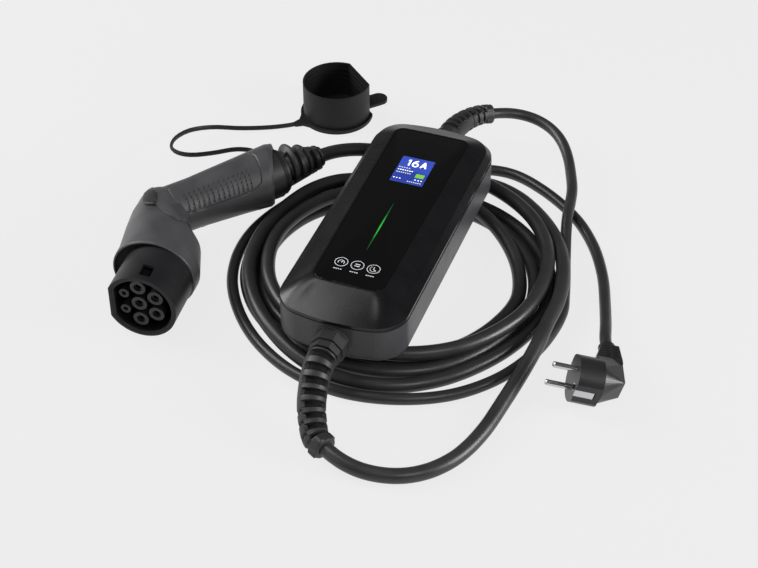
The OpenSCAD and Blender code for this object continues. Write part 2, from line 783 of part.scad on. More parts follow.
// Round outline with one flat side towards +x, standing from z upward
module cap_wall_form(r, flat, z, h)
    translate([0, 0, z]) linear_extrude(h) intersection() {
        circle(r = r, $fn = 96);
        translate([-r, -r]) square([flat + r, 2 * r]);
    }

// The cap's outline drawn in by inset, standing from z upward
module cap_form(inset, z, h) cap_wall_form(cap_r - inset, cap_flat - inset, z, h);

module dust_cap()
    color("#2b2c2d") at_cap() difference() {
        union() {
            cap_form(-cap_foot, 0, tether_z);
            cap_form(0, 0, cap_h);
        }
        cap_form(cap_wall, cap_floor_t, cap_h);
        cap_form(cap_wall - mouth_step, cap_h - mouth_depth, mouth_depth + 1);
        for (k = [0:1])
            cap_form(cap_wall - groove_step, cap_h - groove_top + groove_pitch * k, groove_t);
    }

// Ring under the cap with a pull tab, the strap, and a ring round the collar at the handle's end
module cap_tether() {
    c = curve(strap_path, 44);
    color("#262728") {
        at_cap() difference() {
            union() {
                cap_form(-tether_rim, tether_z, tether_t);
                translate([0, 0, tether_z]) linear_extrude(tether_t) {
                    translate([tab_x, -tab[1] / 2]) square(tab);
                    translate([tab_x + tab[0], 0]) circle(r = tab[1] / 2);
                    for (s = [-1, 1]) scale([-1, s]) polygon(strap_root);
                }
            }
            cap_form(-tether_gap, 0, tether_z + tether_t + 1);
        }
        at_home() sweep(c, strap_half[0], strap_half[1], strap_half[0], strap_half[1],
                        heading(c, 0), heading(c, len(c) - 1), 8);
        at_connector() at_handle() translate([0, 0, handle_l + groove_z[0] + ring_seat]) difference() {
            union() {
                cylinder(r = neck_ring_r + ring_wall, h = ring_t);
                translate([-neck_ring_r - ring_wall - ring_lug[0], -ring_lug[1] / 2, 0])
                    cube([2 * ring_lug[0], ring_lug[1], ring_t]);
            }
            translate([0, 0, -1]) cylinder(r = neck_ring_r + ring_gap, h = ring_t + 2);
        }
    }
}

module plug_body()
    color("#1b1c1d") at_plug() difference() {
        union() {
            intersection() {
                translate([-plug_depth, 0, 0]) rotate([0, 90, 0]) cylinder(r = plug_r, h = plug_depth);
                translate([-plug_depth, -plug_half_w, -plug_r])
                    cube([plug_depth, 2 * plug_half_w, 2 * plug_r]);
            }
            hull() {
                translate([-plug_depth - 1, 0, 0]) rotate([0, 90, 0]) cylinder(r = shoulder_r, h = 1.2);
                translate([back_x, -17, -neck_end_half_h]) cube([1, 20, 2 * neck_end_half_h]);
                translate([-30, neck_y, -neck_half_h]) cube([12, 1, 2 * neck_half_h]);
            }
            hull() {
                translate([back_x, neck_y, -neck_half_h]) cube([21, 4, 2 * neck_half_h]);
                translate([back_x + 1, neck_end_y, -neck_end_half_h]) cube([14, 4, 2 * neck_end_half_h]);
            }
            translate(plug_seat) rotate([-90, 0, 0]) cylinder(r = plug_seat_r, h = 8);
        }
        at_pins() cylinder(r = pin_root_r + fit_gap, h = pin_seat + 1);
        translate([-earth_depth - 1, earth_y, 0]) rotate([0, 90, 0])
            cylinder(r = earth_r + earth_wall + fit_gap, h = earth_depth + 2);
        at_strips() cube([2 * strip[0] + 2, strip[1] + 2 * fit_gap, strip[2] + 2 * fit_gap], center = true);
    }

// Child set where each pin starts inside the plug, with its Z axis pointing to the pin's tip
module at_pins()
    for (s = [-1, 1]) translate([-pin_seat, 0, s * pin_pitch / 2]) rotate([0, 90, 0]) children();

// Child set in the middle of the plug's face edge, on each flat side
module at_strips() for (s = [-1, 1]) translate([0, s * (plug_half_w - strip[1] / 2), 0]) children();

module plug_pins()
    color("#d5d7da") at_plug() at_pins() {
        cylinder(r = pin_root_r, h = pin_seat + pin_neck + 1);
        translate([0, 0, pin_seat + pin_neck]) cylinder(r = pin_r, h = pin_l - pin_neck - pin_tip);
        translate([0, 0, pin_seat + pin_l - pin_tip]) cylinder(r1 = pin_r, r2 = pin_r - 0.8, h = pin_tip);
    }

// Earth contacts: a strip on each flat side and a socket in the face
module earth_bracket()
    color("#c9ccd0") at_plug() {
        at_strips() translate([-strip[0] / 2, 0, 0]) cube(strip, center = true);
        translate([-earth_depth, earth_y, 0]) rotate([0, 90, 0]) difference() {
            cylinder(r = earth_r + earth_wall, h = earth_depth);
            translate([0, 0, 1]) cylinder(r = earth_r, h = earth_depth);
        }
    }

// The coiled turns as one ring, with a step cut for each place where a cable comes out of the coil
module cable_coil()
    color("#202122") at_home() difference() {
        translate(coil_out_at) rotate_extrude($fn = 120) {
            square([coil_out_r - cable_d / 2, coil_h]);
            for (z = [cable_d / 2, coil_h - cable_d / 2])
                translate([coil_out_r - cable_d / 2, z]) circle(r = cable_d / 2);
        }
        translate(coil_in_at) translate([0, 0, -1]) cylinder(r = coil_in_r, h = coil_h + 2, $fn = 120);
        from_box() at_handle() cylinder(r = handle_end_r + handle_clear, h = 2 * handle_l);
        translate(vehicle_path[len(vehicle_path) - 1] + vehicle_step) cube(step_size);
        translate(connector_path[0] + connector_step) cube(step_size);
        translate(supply_path[len(supply_path) - 1] + supply_step)
            cube([step_size[0], step_size[1], cord_step_h]);
        translate([plug_path[0][0], plug_path[0][1], cord_z]) rotate([0, 0, coil_exit_deg])
            translate(plug_step) cube([step_size[0], step_size[1], cord_step_h]);
    }

module vehicle_lead()
    color("#1f2021") at_home() tube(vehicle_path, 24, cable_d, vehicle_exit_dir, [0, 1, 0]);

module connector_lead()
    color("#1f2021") at_home() tube(connector_path, 12, cable_d, [-1, 0, 0], -connector_exit_dir);

module supply_lead()
    color("#1f2021") at_home() tube(supply_path, 20, cord_d, supply_exit_dir, [0, -1, 0]);

module plug_lead()
    color("#1f2021") at_home() tube(plug_path, 26, cord_d, coil_exit_dir, -plug_exit_dir);

base_shell();
top_cover();
cover_seal();
front_panel();
display_module();
light_guide();
display_board();
main_board();
power_relays();
supply_module();
current_sensor();
terminal_blocks();
inner_leads();
board_screws();
case_screws();
vehicle_gland();
supply_gland();
gland_nuts();
vehicle_boot();
supply_boot();
connector_nose();
contact_carrier();
contact_sleeves();
power_contacts();
signal_contacts();
front_housing();
grip_upper();
grip_lower();
grip_screws();
grip_collar();
connector_boot();
dust_cap();
cap_tether();
plug_body();
plug_pins();
earth_bracket();
cable_coil();
vehicle_lead();
connector_lead();
supply_lead();
plug_lead();
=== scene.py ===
"""Dressed model of a portable vehicle charger: box, coiled cables, connector, cap and mains plug."""
import logging
import math
from dataclasses import dataclass
from enum import Enum
from itertools import product
from typing import Sequence

import bmesh
import bpy
import numpy as np
from mathutils import Euler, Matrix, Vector


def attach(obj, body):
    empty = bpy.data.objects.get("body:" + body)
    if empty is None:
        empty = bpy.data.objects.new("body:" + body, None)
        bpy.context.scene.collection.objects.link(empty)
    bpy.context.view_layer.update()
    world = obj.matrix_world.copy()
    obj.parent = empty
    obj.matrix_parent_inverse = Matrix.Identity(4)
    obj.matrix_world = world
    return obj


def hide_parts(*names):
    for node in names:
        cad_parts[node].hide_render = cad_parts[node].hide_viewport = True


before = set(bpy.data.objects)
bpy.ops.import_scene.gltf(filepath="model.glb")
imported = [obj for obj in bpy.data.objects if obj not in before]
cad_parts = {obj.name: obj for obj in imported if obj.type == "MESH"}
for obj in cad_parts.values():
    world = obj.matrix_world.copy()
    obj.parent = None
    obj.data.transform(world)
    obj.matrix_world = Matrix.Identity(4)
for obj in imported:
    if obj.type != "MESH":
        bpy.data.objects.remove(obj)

LOG = logging.getLogger("charger")
Array = np.ndarray
Point = Sequence[float]

# Where the origin of the box frame stands, in millimetres, and a millimetre in metres
HOME = np.array([94.0, -11.2, 0.0])
MM = 0.001
UP = np.array([0.0, 0.0, 1.0])

# Noise behind every finish: cells per metre and octaves of the broad one, octaves of the fine one
BROAD_CELLS = 46.0
BROAD_DETAIL = 5.0
FINE_DETAIL = 2.0
# The part of the noise's range that colour and gloss follow, and how far the gloss swings
NOISE_SPAN = (0.3, 0.7)
GLOSS_SWING = 0.12
BUMP_STRENGTH = 0.6


class Grain(Enum):
    """How the skin of a finish is broken up, as cells per metre."""

    POLISHED = 300.0
    SPARKED = 2600.0
    RUBBER = 1400.0
    BRUSHED = 5200.0


def linear(level: float) -> float:
    """Linear light of a display level from 0 to 255."""
    share = level / 255.0
    return share / 12.92 if share <= 0.04045 else ((share + 0.055) / 1.055) ** 2.4


@dataclass(frozen=True)
class Finish:
    """One surface finish: colour as display levels, gloss, skin grain and glow.

    The colour drifts with a broad noise, the gloss with the same noise, and a fine noise of the grain's
    scale lifts the skin by a few hundredths of a millimetre.
    """

    name: str
    level: tuple[float, float, float]
    roughness: float
    grain: Grain = Grain.SPARKED
    lift: float = 0.03
    drift: float = 0.14
    metallic: float = 0.0
    specular: float = 0.5
    glow: float = 0.0

    def material(self) -> bpy.types.Material:
        """Make the material once and hand back the same one after that.

        Returns:
            The procedural material of this finish.
        """
        title = f"finish_{self.name}"
        known = bpy.data.materials.get(title)
        if known:
            return known
        made = bpy.data.materials.new(title)
        made.use_nodes = True
        tree = made.node_tree
        shader = tree.nodes["Principled BSDF"]
        shader.inputs["Metallic"].default_value = self.metallic
        shader.inputs["Specular IOR Level"].default_value = self.specular
        place = tree.nodes.new("ShaderNodeTexCoord").outputs["Object"]
        broad = self._noise(tree, place, BROAD_CELLS, BROAD_DETAIL)
        ramp = tree.nodes.new("ShaderNodeValToRGB")
        tree.links.new(broad, ramp.inputs["Fac"])
        for stop, share in enumerate((1 - self.drift, 1 + self.drift)):
            ramp.color_ramp.elements[stop].position = NOISE_SPAN[stop]
            tone = [min(1.0, linear(level) * share) for level in self.level]
            ramp.color_ramp.elements[stop].color = (*tone, 1.0)
        tree.links.new(ramp.outputs["Color"], shader.inputs["Base Color"])
        gloss = tree.nodes.new("ShaderNodeMapRange")
        gloss.inputs["From Min"].default_value = NOISE_SPAN[0]
        gloss.inputs["From Max"].default_value = NOISE_SPAN[1]
        gloss.inputs["To Min"].default_value = max(0.02, self.roughness * (1 - GLOSS_SWING))
        gloss.inputs["To Max"].default_value = min(1.0, self.roughness * (1 + GLOSS_SWING))
        tree.links.new(broad, gloss.inputs["Value"])
        tree.links.new(gloss.outputs["Result"], shader.inputs["Roughness"])
        bump = tree.nodes.new("ShaderNodeBump")
        bump.inputs["Strength"].default_value = BUMP_STRENGTH
        bump.inputs["Distance"].default_value = self.lift * MM
        tree.links.new(self._noise(tree, place, self.grain.value, FINE_DETAIL), bump.inputs["Height"])
        tree.links.new(bump.outputs["Normal"], shader.inputs["Normal"])
        if self.glow:
            tone = [linear(level) for level in self.level]
            shader.inputs["Emission Color"].default_value = (*tone, 1.0)
            shader.inputs["Emission Strength"].default_value = self.glow
        return made

    @staticmethod
    def _noise(tree: bpy.types.NodeTree, place: bpy.types.NodeSocket, scale: float,
               detail: float) -> bpy.types.NodeSocket:
        """Add one noise texture on object coordinates.

        Args:
            tree: The material's nodes.
            place: The coordinate output that the noise reads.
            scale: Cells per metre.
            detail: Octaves of the noise.

        Returns:
            The noise height output.
        """
        noise = tree.nodes.new("ShaderNodeTexNoise")
        noise.inputs["Scale"].default_value = scale
        noise.inputs["Detail"].default_value = detail
        tree.links.new(place, noise.inputs["Vector"])
        return noise.outputs["Fac"]


CASE = Finish("case_matt", (57, 57, 59), 0.4, specular=0.36)
COVER = Finish("cover_satin", (16, 16, 18), 0.28, lift=0.012, specular=0.34)
SEAL = Finish("seal_black", (12, 12, 12), 0.7, Grain.RUBBER)
PANEL = Finish("panel_gloss", (9, 9, 10), 0.08, Grain.POLISHED, lift=0.001, drift=0.1, specular=0.35)
SCREEN = Finish("screen_blue", (50, 72, 168), 0.2, Grain.POLISHED, lift=0.001, drift=0.06, glow=0.25)
SCREEN_DIM = Finish("screen_field", (40, 58, 146), 0.2, Grain.POLISHED, lift=0.001, drift=0.06, glow=0.25)
MARK = Finish("mark_white", (206, 207, 210), 0.4, Grain.POLISHED, lift=0.001, drift=0.04, glow=0.25)
NUMBER = Finish("number_white", (240, 243, 250), 0.4, Grain.POLISHED, lift=0.001, drift=0.02, glow=0.9)
LINE = Finish("line_pale", (196, 206, 170), 0.4, Grain.POLISHED, lift=0.001, drift=0.04, glow=0.7)
FIELD = Finish("field_green", (104, 166, 60), 0.4, Grain.POLISHED, lift=0.001, drift=0.06, glow=0.6)
LIGHT = Finish("light_green", (36, 156, 52), 0.3, Grain.POLISHED, lift=0.001, drift=0.1, glow=0.6)
LIGHT_EDGE = Finish("light_edge", (12, 74, 26), 0.3, Grain.POLISHED, lift=0.001, drift=0.1, glow=0.5)
RUBBER = Finish("boot_rubber", (34, 34, 35), 0.5, Grain.RUBBER, lift=0.04)
# Near-black painted shade: the plate in the gap behind the housing's front lip, the core tube under the
# boots' slots and the plug's slits; the contact carrier inside the nose takes it too
SHADE = Finish("shade_black", (8, 8, 9), 0.8, Grain.RUBBER, specular=0.2)
CABLE = Finish("cable_rubber", (42, 42, 43), 0.37, Grain.RUBBER)
CORD = Finish("cord_rubber", (40, 40, 41), 0.37, Grain.RUBBER)
HOUSING = Finish("housing_matt", (64, 64, 66), 0.42)
GRIP = Finish("grip_soft", (60, 60, 62), 0.46, Grain.RUBBER, lift=0.04)
NOSE = Finish("nose_satin", (25, 25, 27), 0.44, specular=0.26)
COLLAR = Finish("collar_dark", (30, 30, 31), 0.5)
CAP = Finish("cap_rubber", (23, 23, 24), 0.55, Grain.RUBBER, lift=0.05, specular=0.26)
PLUG = Finish("plug_rubber", (30, 30, 31), 0.34, Grain.RUBBER)
CHROME = Finish("pin_chrome", (206, 206, 210), 0.16, Grain.BRUSHED, lift=0.004, drift=0.05, metallic=1.0)
SILVER = Finish("contact_silver", (188, 186, 180), 0.3, Grain.BRUSHED, lift=0.006, metallic=1.0)
STEEL = Finish("screw_steel", (150, 150, 152), 0.34, Grain.BRUSHED, lift=0.006, metallic=1.0)
BOARD = Finish("board_green", (28, 74, 46), 0.45, Grain.POLISHED, lift=0.01)
RELAY = Finish("relay_black", (24, 25, 27), 0.5)
CORE = Finish("core_grey", (74, 76, 82), 0.6)
CLAMP = Finish("clamp_green", (64, 128, 76), 0.5)
LEAD = Finish("lead_brown", (96, 62, 40), 0.5, Grain.RUBBER)

NODE_FINISH: dict[str, Finish] = {
    "base_shell": CASE, "top_cover": COVER, "cover_seal": SEAL, "front_panel": PANEL,
    "display_module": SCREEN, "light_guide": LIGHT, "display_board": BOARD, "main_board": BOARD,
    "power_relays": RELAY, "supply_module": RELAY, "current_sensor": CORE, "terminal_blocks": CLAMP,
    "inner_leads": LEAD, "board_screws": STEEL, "case_screws": STEEL, "vehicle_gland": RUBBER,
    "supply_gland": RUBBER, "gland_nuts": RELAY, "vehicle_boot": RUBBER, "supply_boot": RUBBER,
    "connector_nose": NOSE, "contact_carrier": SHADE, "contact_sleeves": COLLAR,
    "power_contacts": SILVER, "signal_contacts": SILVER, "front_housing": HOUSING,
    "grip_upper": GRIP, "grip_lower": GRIP, "grip_screws": STEEL, "grip_collar": COLLAR,
    "connector_boot": RUBBER, "dust_cap": CAP, "cap_tether": CAP, "plug_body": PLUG,
    "plug_pins": CHROME, "earth_bracket": CHROME, "cable_coil": CABLE, "vehicle_lead": CABLE,
    "connector_lead": CABLE, "supply_lead": CORD, "plug_lead": CORD,
}


@dataclass
class Patch:
    """A grid of points in millimetres, rows by columns, that is closed round its columns.

    Attributes:
        points: Array of rows by columns by three.
        finish: What the patch is made of.
        ring: True where the last row joins the first one, as on a torus.
    """

    points: Array
    finish: Finish
    ring: bool = False

    def faces(self) -> tuple[Array, Array, Array]:
        """Number the patch's faces.

        Returns:
            Vertices in metres, four-sided faces, and the three-sided faces that close its two ends.
        """
        rows, columns = self.points.shape[:2]
        row = np.arange(rows if self.ring else rows - 1)[:, None]
        column = np.arange(columns)[None, :]
        nearer, farther = row * columns, (row + 1) % rows * columns
        beside = (column + 1) % columns
        four = np.stack([nearer + column, nearer + beside, farther + beside, farther + column], -1)
        vertices = self.points.reshape(-1, 3)
        three = np.zeros((0, 3), int)
        if not self.ring:
            middles = self.points[[0, -1]].mean(1)
            around = np.arange(columns)
            last = (rows - 1) * columns
            first_end = np.stack([around * 0 + rows * columns, (around + 1) % columns, around], -1)
            last_end = np.stack([around * 0 + rows * columns + 1, last + around,
                                 last + (around + 1) % columns], -1)
            three = np.vstack([first_end, last_end])
            vertices = np.vstack([vertices, middles])
        return (vertices + HOME) * MM, four.reshape(-1, 4), three


def make_piece(name: str, patches: Sequence[Patch], stands_for: Sequence[str] = (),
               crease: float = 38.0) -> bpy.types.Object:
    """Join patches into one piece with outward faces, and hang it under the root body.

    Args:
        name: The piece's name.
        patches: Its closed surfaces.
        stands_for: CAD nodes that the piece replaces.
        crease: Edges bent by more than this many degrees stay sharp.

    Returns:
        The finished object, at the origin.
    """
    finishes = list(dict.fromkeys(patch.finish for patch in patches))
    start = 0
    corners, sizes, paints, places = [], [], [], []
    for patch in patches:
        vertices, four, three = patch.faces()
        places.append(vertices)
        corners += [(four + start).ravel(), (three + start).ravel()]
        sizes += [np.full(len(four), 4), np.full(len(three), 3)]
        paints.append(np.full(len(four) + len(three), finishes.index(patch.finish)))
        start += len(vertices)
    place, corner = np.vstack(places), np.concatenate(corners)
    size, paint = np.concatenate(sizes), np.concatenate(paints)
    mesh = bpy.data.meshes.new(name)
    mesh.vertices.add(len(place))
    mesh.vertices.foreach_set("co", place.ravel())
    mesh.loops.add(len(corner))
    mesh.loops.foreach_set("vertex_index", corner)
    mesh.polygons.add(len(size))
    mesh.polygons.foreach_set("loop_start", np.concatenate([[0], np.cumsum(size)[:-1]]))
    mesh.polygons.foreach_set("material_index", paint)
    mesh.update(calc_edges=True)
    shell = bmesh.new()
    shell.from_mesh(mesh)
    bmesh.ops.recalc_face_normals(shell, faces=shell.faces)
    shell.to_mesh(mesh)
    shell.free()
    mesh.polygons.foreach_set("use_smooth", size == 4)
    mesh.set_sharp_from_angle(angle=math.radians(crease))
    for finish in finishes:
        mesh.materials.append(finish.material())
    piece = bpy.data.objects.new(name, mesh)
    bpy.context.scene.collection.objects.link(piece)
    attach(piece, "root")
    if stands_for:
        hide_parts(*stands_for)
    LOG.info("%s: %d faces", name, len(size))
    return piece


def unit(vector: Array) -> Array:
    """Vectors of length one along the last axis."""
    vector = np.asarray(vector, float)
    return vector / np.linalg.norm(vector, axis=-1, keepdims=True)


def round_angles(count: int) -> Array:
    """Evenly spaced angles of one full turn."""
    return np.linspace(0, 2 * np.pi, count, endpoint=False)


def fade(inside: Array, width: float) -> Array:
    """Soft step over a width: 0 well outside an edge, a half on it and 1 well inside."""
    return np.clip(inside / width + 0.5, 0, 1)


def laid(rows: Sequence[Point], rest: float) -> Array:
    """Rows of three numbers, where a row of two gets the rest height as its third."""
    return np.array([(*row, rest)[:3] for row in rows], float)


def aim(at: Vector, to: Vector) -> Euler:
    """Turn that points a lamp or a camera from one place to another."""
    return (to - at).to_track_quat("-Z", "Y").to_euler()


def through(points: Sequence[Point], count: int) -> Array:
    """Carry a smooth curve through route points.

    Between two points the curve is the cubic with a given slope at each of them. The slope is that of the
    parabola through the point and its two neighbours, over the distance along the route. The result is then
    spaced evenly along its length.

    Args:
        points: Route points.
        count: Points wanted on the curve.

    Returns:
        Array of count by three.
    """
    knots = np.asarray(points, float)
    knots = np.vstack([2 * knots[0] - knots[1], knots, 2 * knots[-1] - knots[-2]])
    chord = np.diff(knots, axis=0)
    long = np.linalg.norm(chord, axis=1, keepdims=True)
    rate = chord / long
    slope = (long[:-1] * rate[1:] + long[1:] * rate[:-1]) / (long[:-1] + long[1:])
    along = np.linspace(0, len(slope) - 1 - 1e-9, count * 4)
    span = along.astype(int)
    share = (along - span)[:, None]
    first, last, reach = knots[span + 1], knots[span + 2], long[span + 1]
    ease = share ** 2 * (3 - 2 * share)
    lead = share * (1 - share) ** 2 * slope[span] - share ** 2 * (1 - share) * slope[span + 1]
    dense = first + (last - first) * ease + reach * lead
    return at_lengths(dense, np.linspace(0, lengths(dense)[-1], count))


def lengths(path: Array) -> Array:
    """Distance along a path from its start to each of its points."""
    return np.concatenate([[0], np.cumsum(np.linalg.norm(np.diff(path, axis=0), axis=1))])


def at_lengths(path: Array, wanted: Array) -> Array:
    """Points on a path at the given distances from its start."""
    known = lengths(path)
    return np.stack([np.interp(wanted, known, path[:, axis]) for axis in range(path.shape[1])], 1)


def sweep(path: Array, radius: Array, columns: int) -> Array:
    """Carry a circle of changing radius along a path.

    A ring's point is the path point plus the radius times the cosine of its angle along the level side
    direction, and times the sine along the direction square to the path and the side.

    Args:
        path: Rows by three.
        radius: One radius for each row, or rows by columns.
        columns: Points round a ring.

    Returns:
        Rows by columns by three.
    """
    ahead = unit(np.gradient(path, axis=0))
    side = unit(np.cross(UP, ahead))
    over = np.cross(ahead, side)
    angle = round_angles(columns)
    reach = np.broadcast_to(np.asarray(radius, float).reshape(len(path), -1), (len(path), columns))
    spoke = np.cos(angle)[:, None] * side[:, None] + np.sin(angle)[:, None] * over[:, None]
    return path[:, None] + reach[..., None] * spoke


@dataclass(frozen=True)
class Lamp:
    """One square soft lamp: its place, what it faces and its edge in metres, and its watts."""

    name: str
    at: tuple[float, float, float]
    to: tuple[float, float, float]
    size: float
    power: float

    def hang(self) -> None:
        """Make the lamp and point it at what it lights."""
        data = bpy.data.lights.new(self.name, "AREA")
        data.size = self.size
        data.energy = self.power
        lamp = bpy.data.objects.new(self.name, data)
        bpy.context.scene.collection.objects.link(lamp)
        lamp.location = self.at
        lamp.rotation_euler = aim(Vector(self.at), Vector(self.to))


@dataclass
class Studio:
    """Pale floor, soft lamps and the camera of the picture."""

    floor_level: float = 236.0
    floor_half: float = 6.0
    floor_drop: float = 2e-4
    floor_even: float = 0.94
    floor_matt: float = 0.8
    surround: float = 0.92
    surround_power: float = 0.1
    camera_at: tuple[float, float, float] = (373.7, -1052.3, 941.8)
    camera_to: tuple[float, float, float] = (-5.5, -12.4, 0.0)
    lens: float = 83.57
    sensor: float = 36.0
    far_clip: float = 50.0
    lamps: tuple[Lamp, ...] = (
        Lamp("lamp_left", (-1.75, 0.1, 1.0), (0.05, 0.0, 0.05), 1.1, 32.0),
        Lamp("lamp_top", (-0.85, -0.15, 1.7), (0.05, 0.0, 0.05), 0.9, 12.0),
        Lamp("lamp_front", (-1.35, -1.7, 1.0), (0.05, 0.0, 0.05), 1.0, 4.0),
        Lamp("lamp_high", (0.95, -1.05, 1.5), (0.1, 0.0, 0.05), 0.5, 7.0),
        Lamp("lamp_right", (1.9, 0.1, 0.7), (0.1, 0.0, 0.05), 0.9, 39.0))

    def build(self) -> None:
        """Set the view transform and make the camera, the floor, the world and the lamps."""
        scene = bpy.context.scene
        scene.view_settings.view_transform = "Standard"
        self._camera(scene)
        self._floor(scene)
        self._world(scene)
        for lamp in self.lamps:
            lamp.hang()

    def _camera(self, scene: bpy.types.Scene) -> None:
        """Put the camera where the picture was taken from.

        Args:
            scene: The scene that gets the camera.
        """
        data = bpy.data.cameras.new("camera")
        data.lens = self.lens
        data.sensor_width = self.sensor
        data.clip_end = self.far_clip
        camera = bpy.data.objects.new("camera", data)
        scene.collection.objects.link(camera)
        at, to = (Vector((np.array(place) + HOME) * MM) for place in (self.camera_at, self.camera_to))
        camera.location = at
        camera.rotation_euler = aim(at, to)
        scene.camera = camera

    def _floor(self, scene: bpy.types.Scene) -> None:
        """Lay a wide floor that is one pale grey to the camera and still takes a soft shadow.

        Args:
            scene: The scene that gets the floor.
        """
        half, low = self.floor_half, -self.floor_drop
        mesh = bpy.data.meshes.new("floor")
        mesh.from_pydata([(-half, -half, low), (half, -half, low), (half, half, low), (-half, half, low)],
                         [], [(0, 1, 2, 3)])
        floor = bpy.data.objects.new("floor", mesh)
        scene.collection.objects.link(floor)
        mesh.materials.append(self._floor_paint())

    def _floor_paint(self) -> bpy.types.Material:
        """Mix an even grey, for the camera and for reflections, with a matt floor for the lamps' light.

        Returns:
            The floor's material.
        """
        made = bpy.data.materials.new("floor_pale")
        made.use_nodes = True
        tree = made.node_tree
        tree.nodes.clear()
        level = linear(self.floor_level)
        plain = tree.nodes.new("ShaderNodeEmission")
        plain.inputs["Color"].default_value = (level, level, level, 1.0)
        matt = tree.nodes.new("ShaderNodeBsdfDiffuse")
        matt.inputs["Color"].default_value = (self.floor_matt, self.floor_matt, self.floor_matt, 1.0)
        rays = tree.nodes.new("ShaderNodeLightPath").outputs
        seen = rays["Is Camera Ray"]
        for kind in ("Is Glossy Ray", "Is Transmission Ray"):
            either = tree.nodes.new("ShaderNodeMath")
            either.operation = "MAXIMUM"
            tree.links.new(seen, either.inputs[0])
            tree.links.new(rays[kind], either.inputs[1])
            seen = either.outputs[0]
        share = tree.nodes.new("ShaderNodeMath")
        share.operation = "MULTIPLY"
        share.inputs[1].default_value = self.floor_even
        tree.links.new(seen, share.inputs[0])
        mix = tree.nodes.new("ShaderNodeMixShader")
        tree.links.new(share.outputs[0], mix.inputs["Fac"])
        tree.links.new(matt.outputs[0], mix.inputs[1])
        tree.links.new(plain.outputs[0], mix.inputs[2])
        out = tree.nodes.new("ShaderNodeOutputMaterial")
        tree.links.new(mix.outputs[0], out.inputs["Surface"])
        return made

    def _world(self, scene: bpy.types.Scene) -> None:
        """Give an even pale surround.

        Args:
            scene: The scene that gets the world.
        """
        world = bpy.data.worlds.new("surround")
        world.use_nodes = True
        back = world.node_tree.nodes["Background"]
        back.inputs["Color"].default_value = (self.surround, self.surround, self.surround, 1.0)
        back.inputs["Strength"].default_value = self.surround_power
        scene.world = world


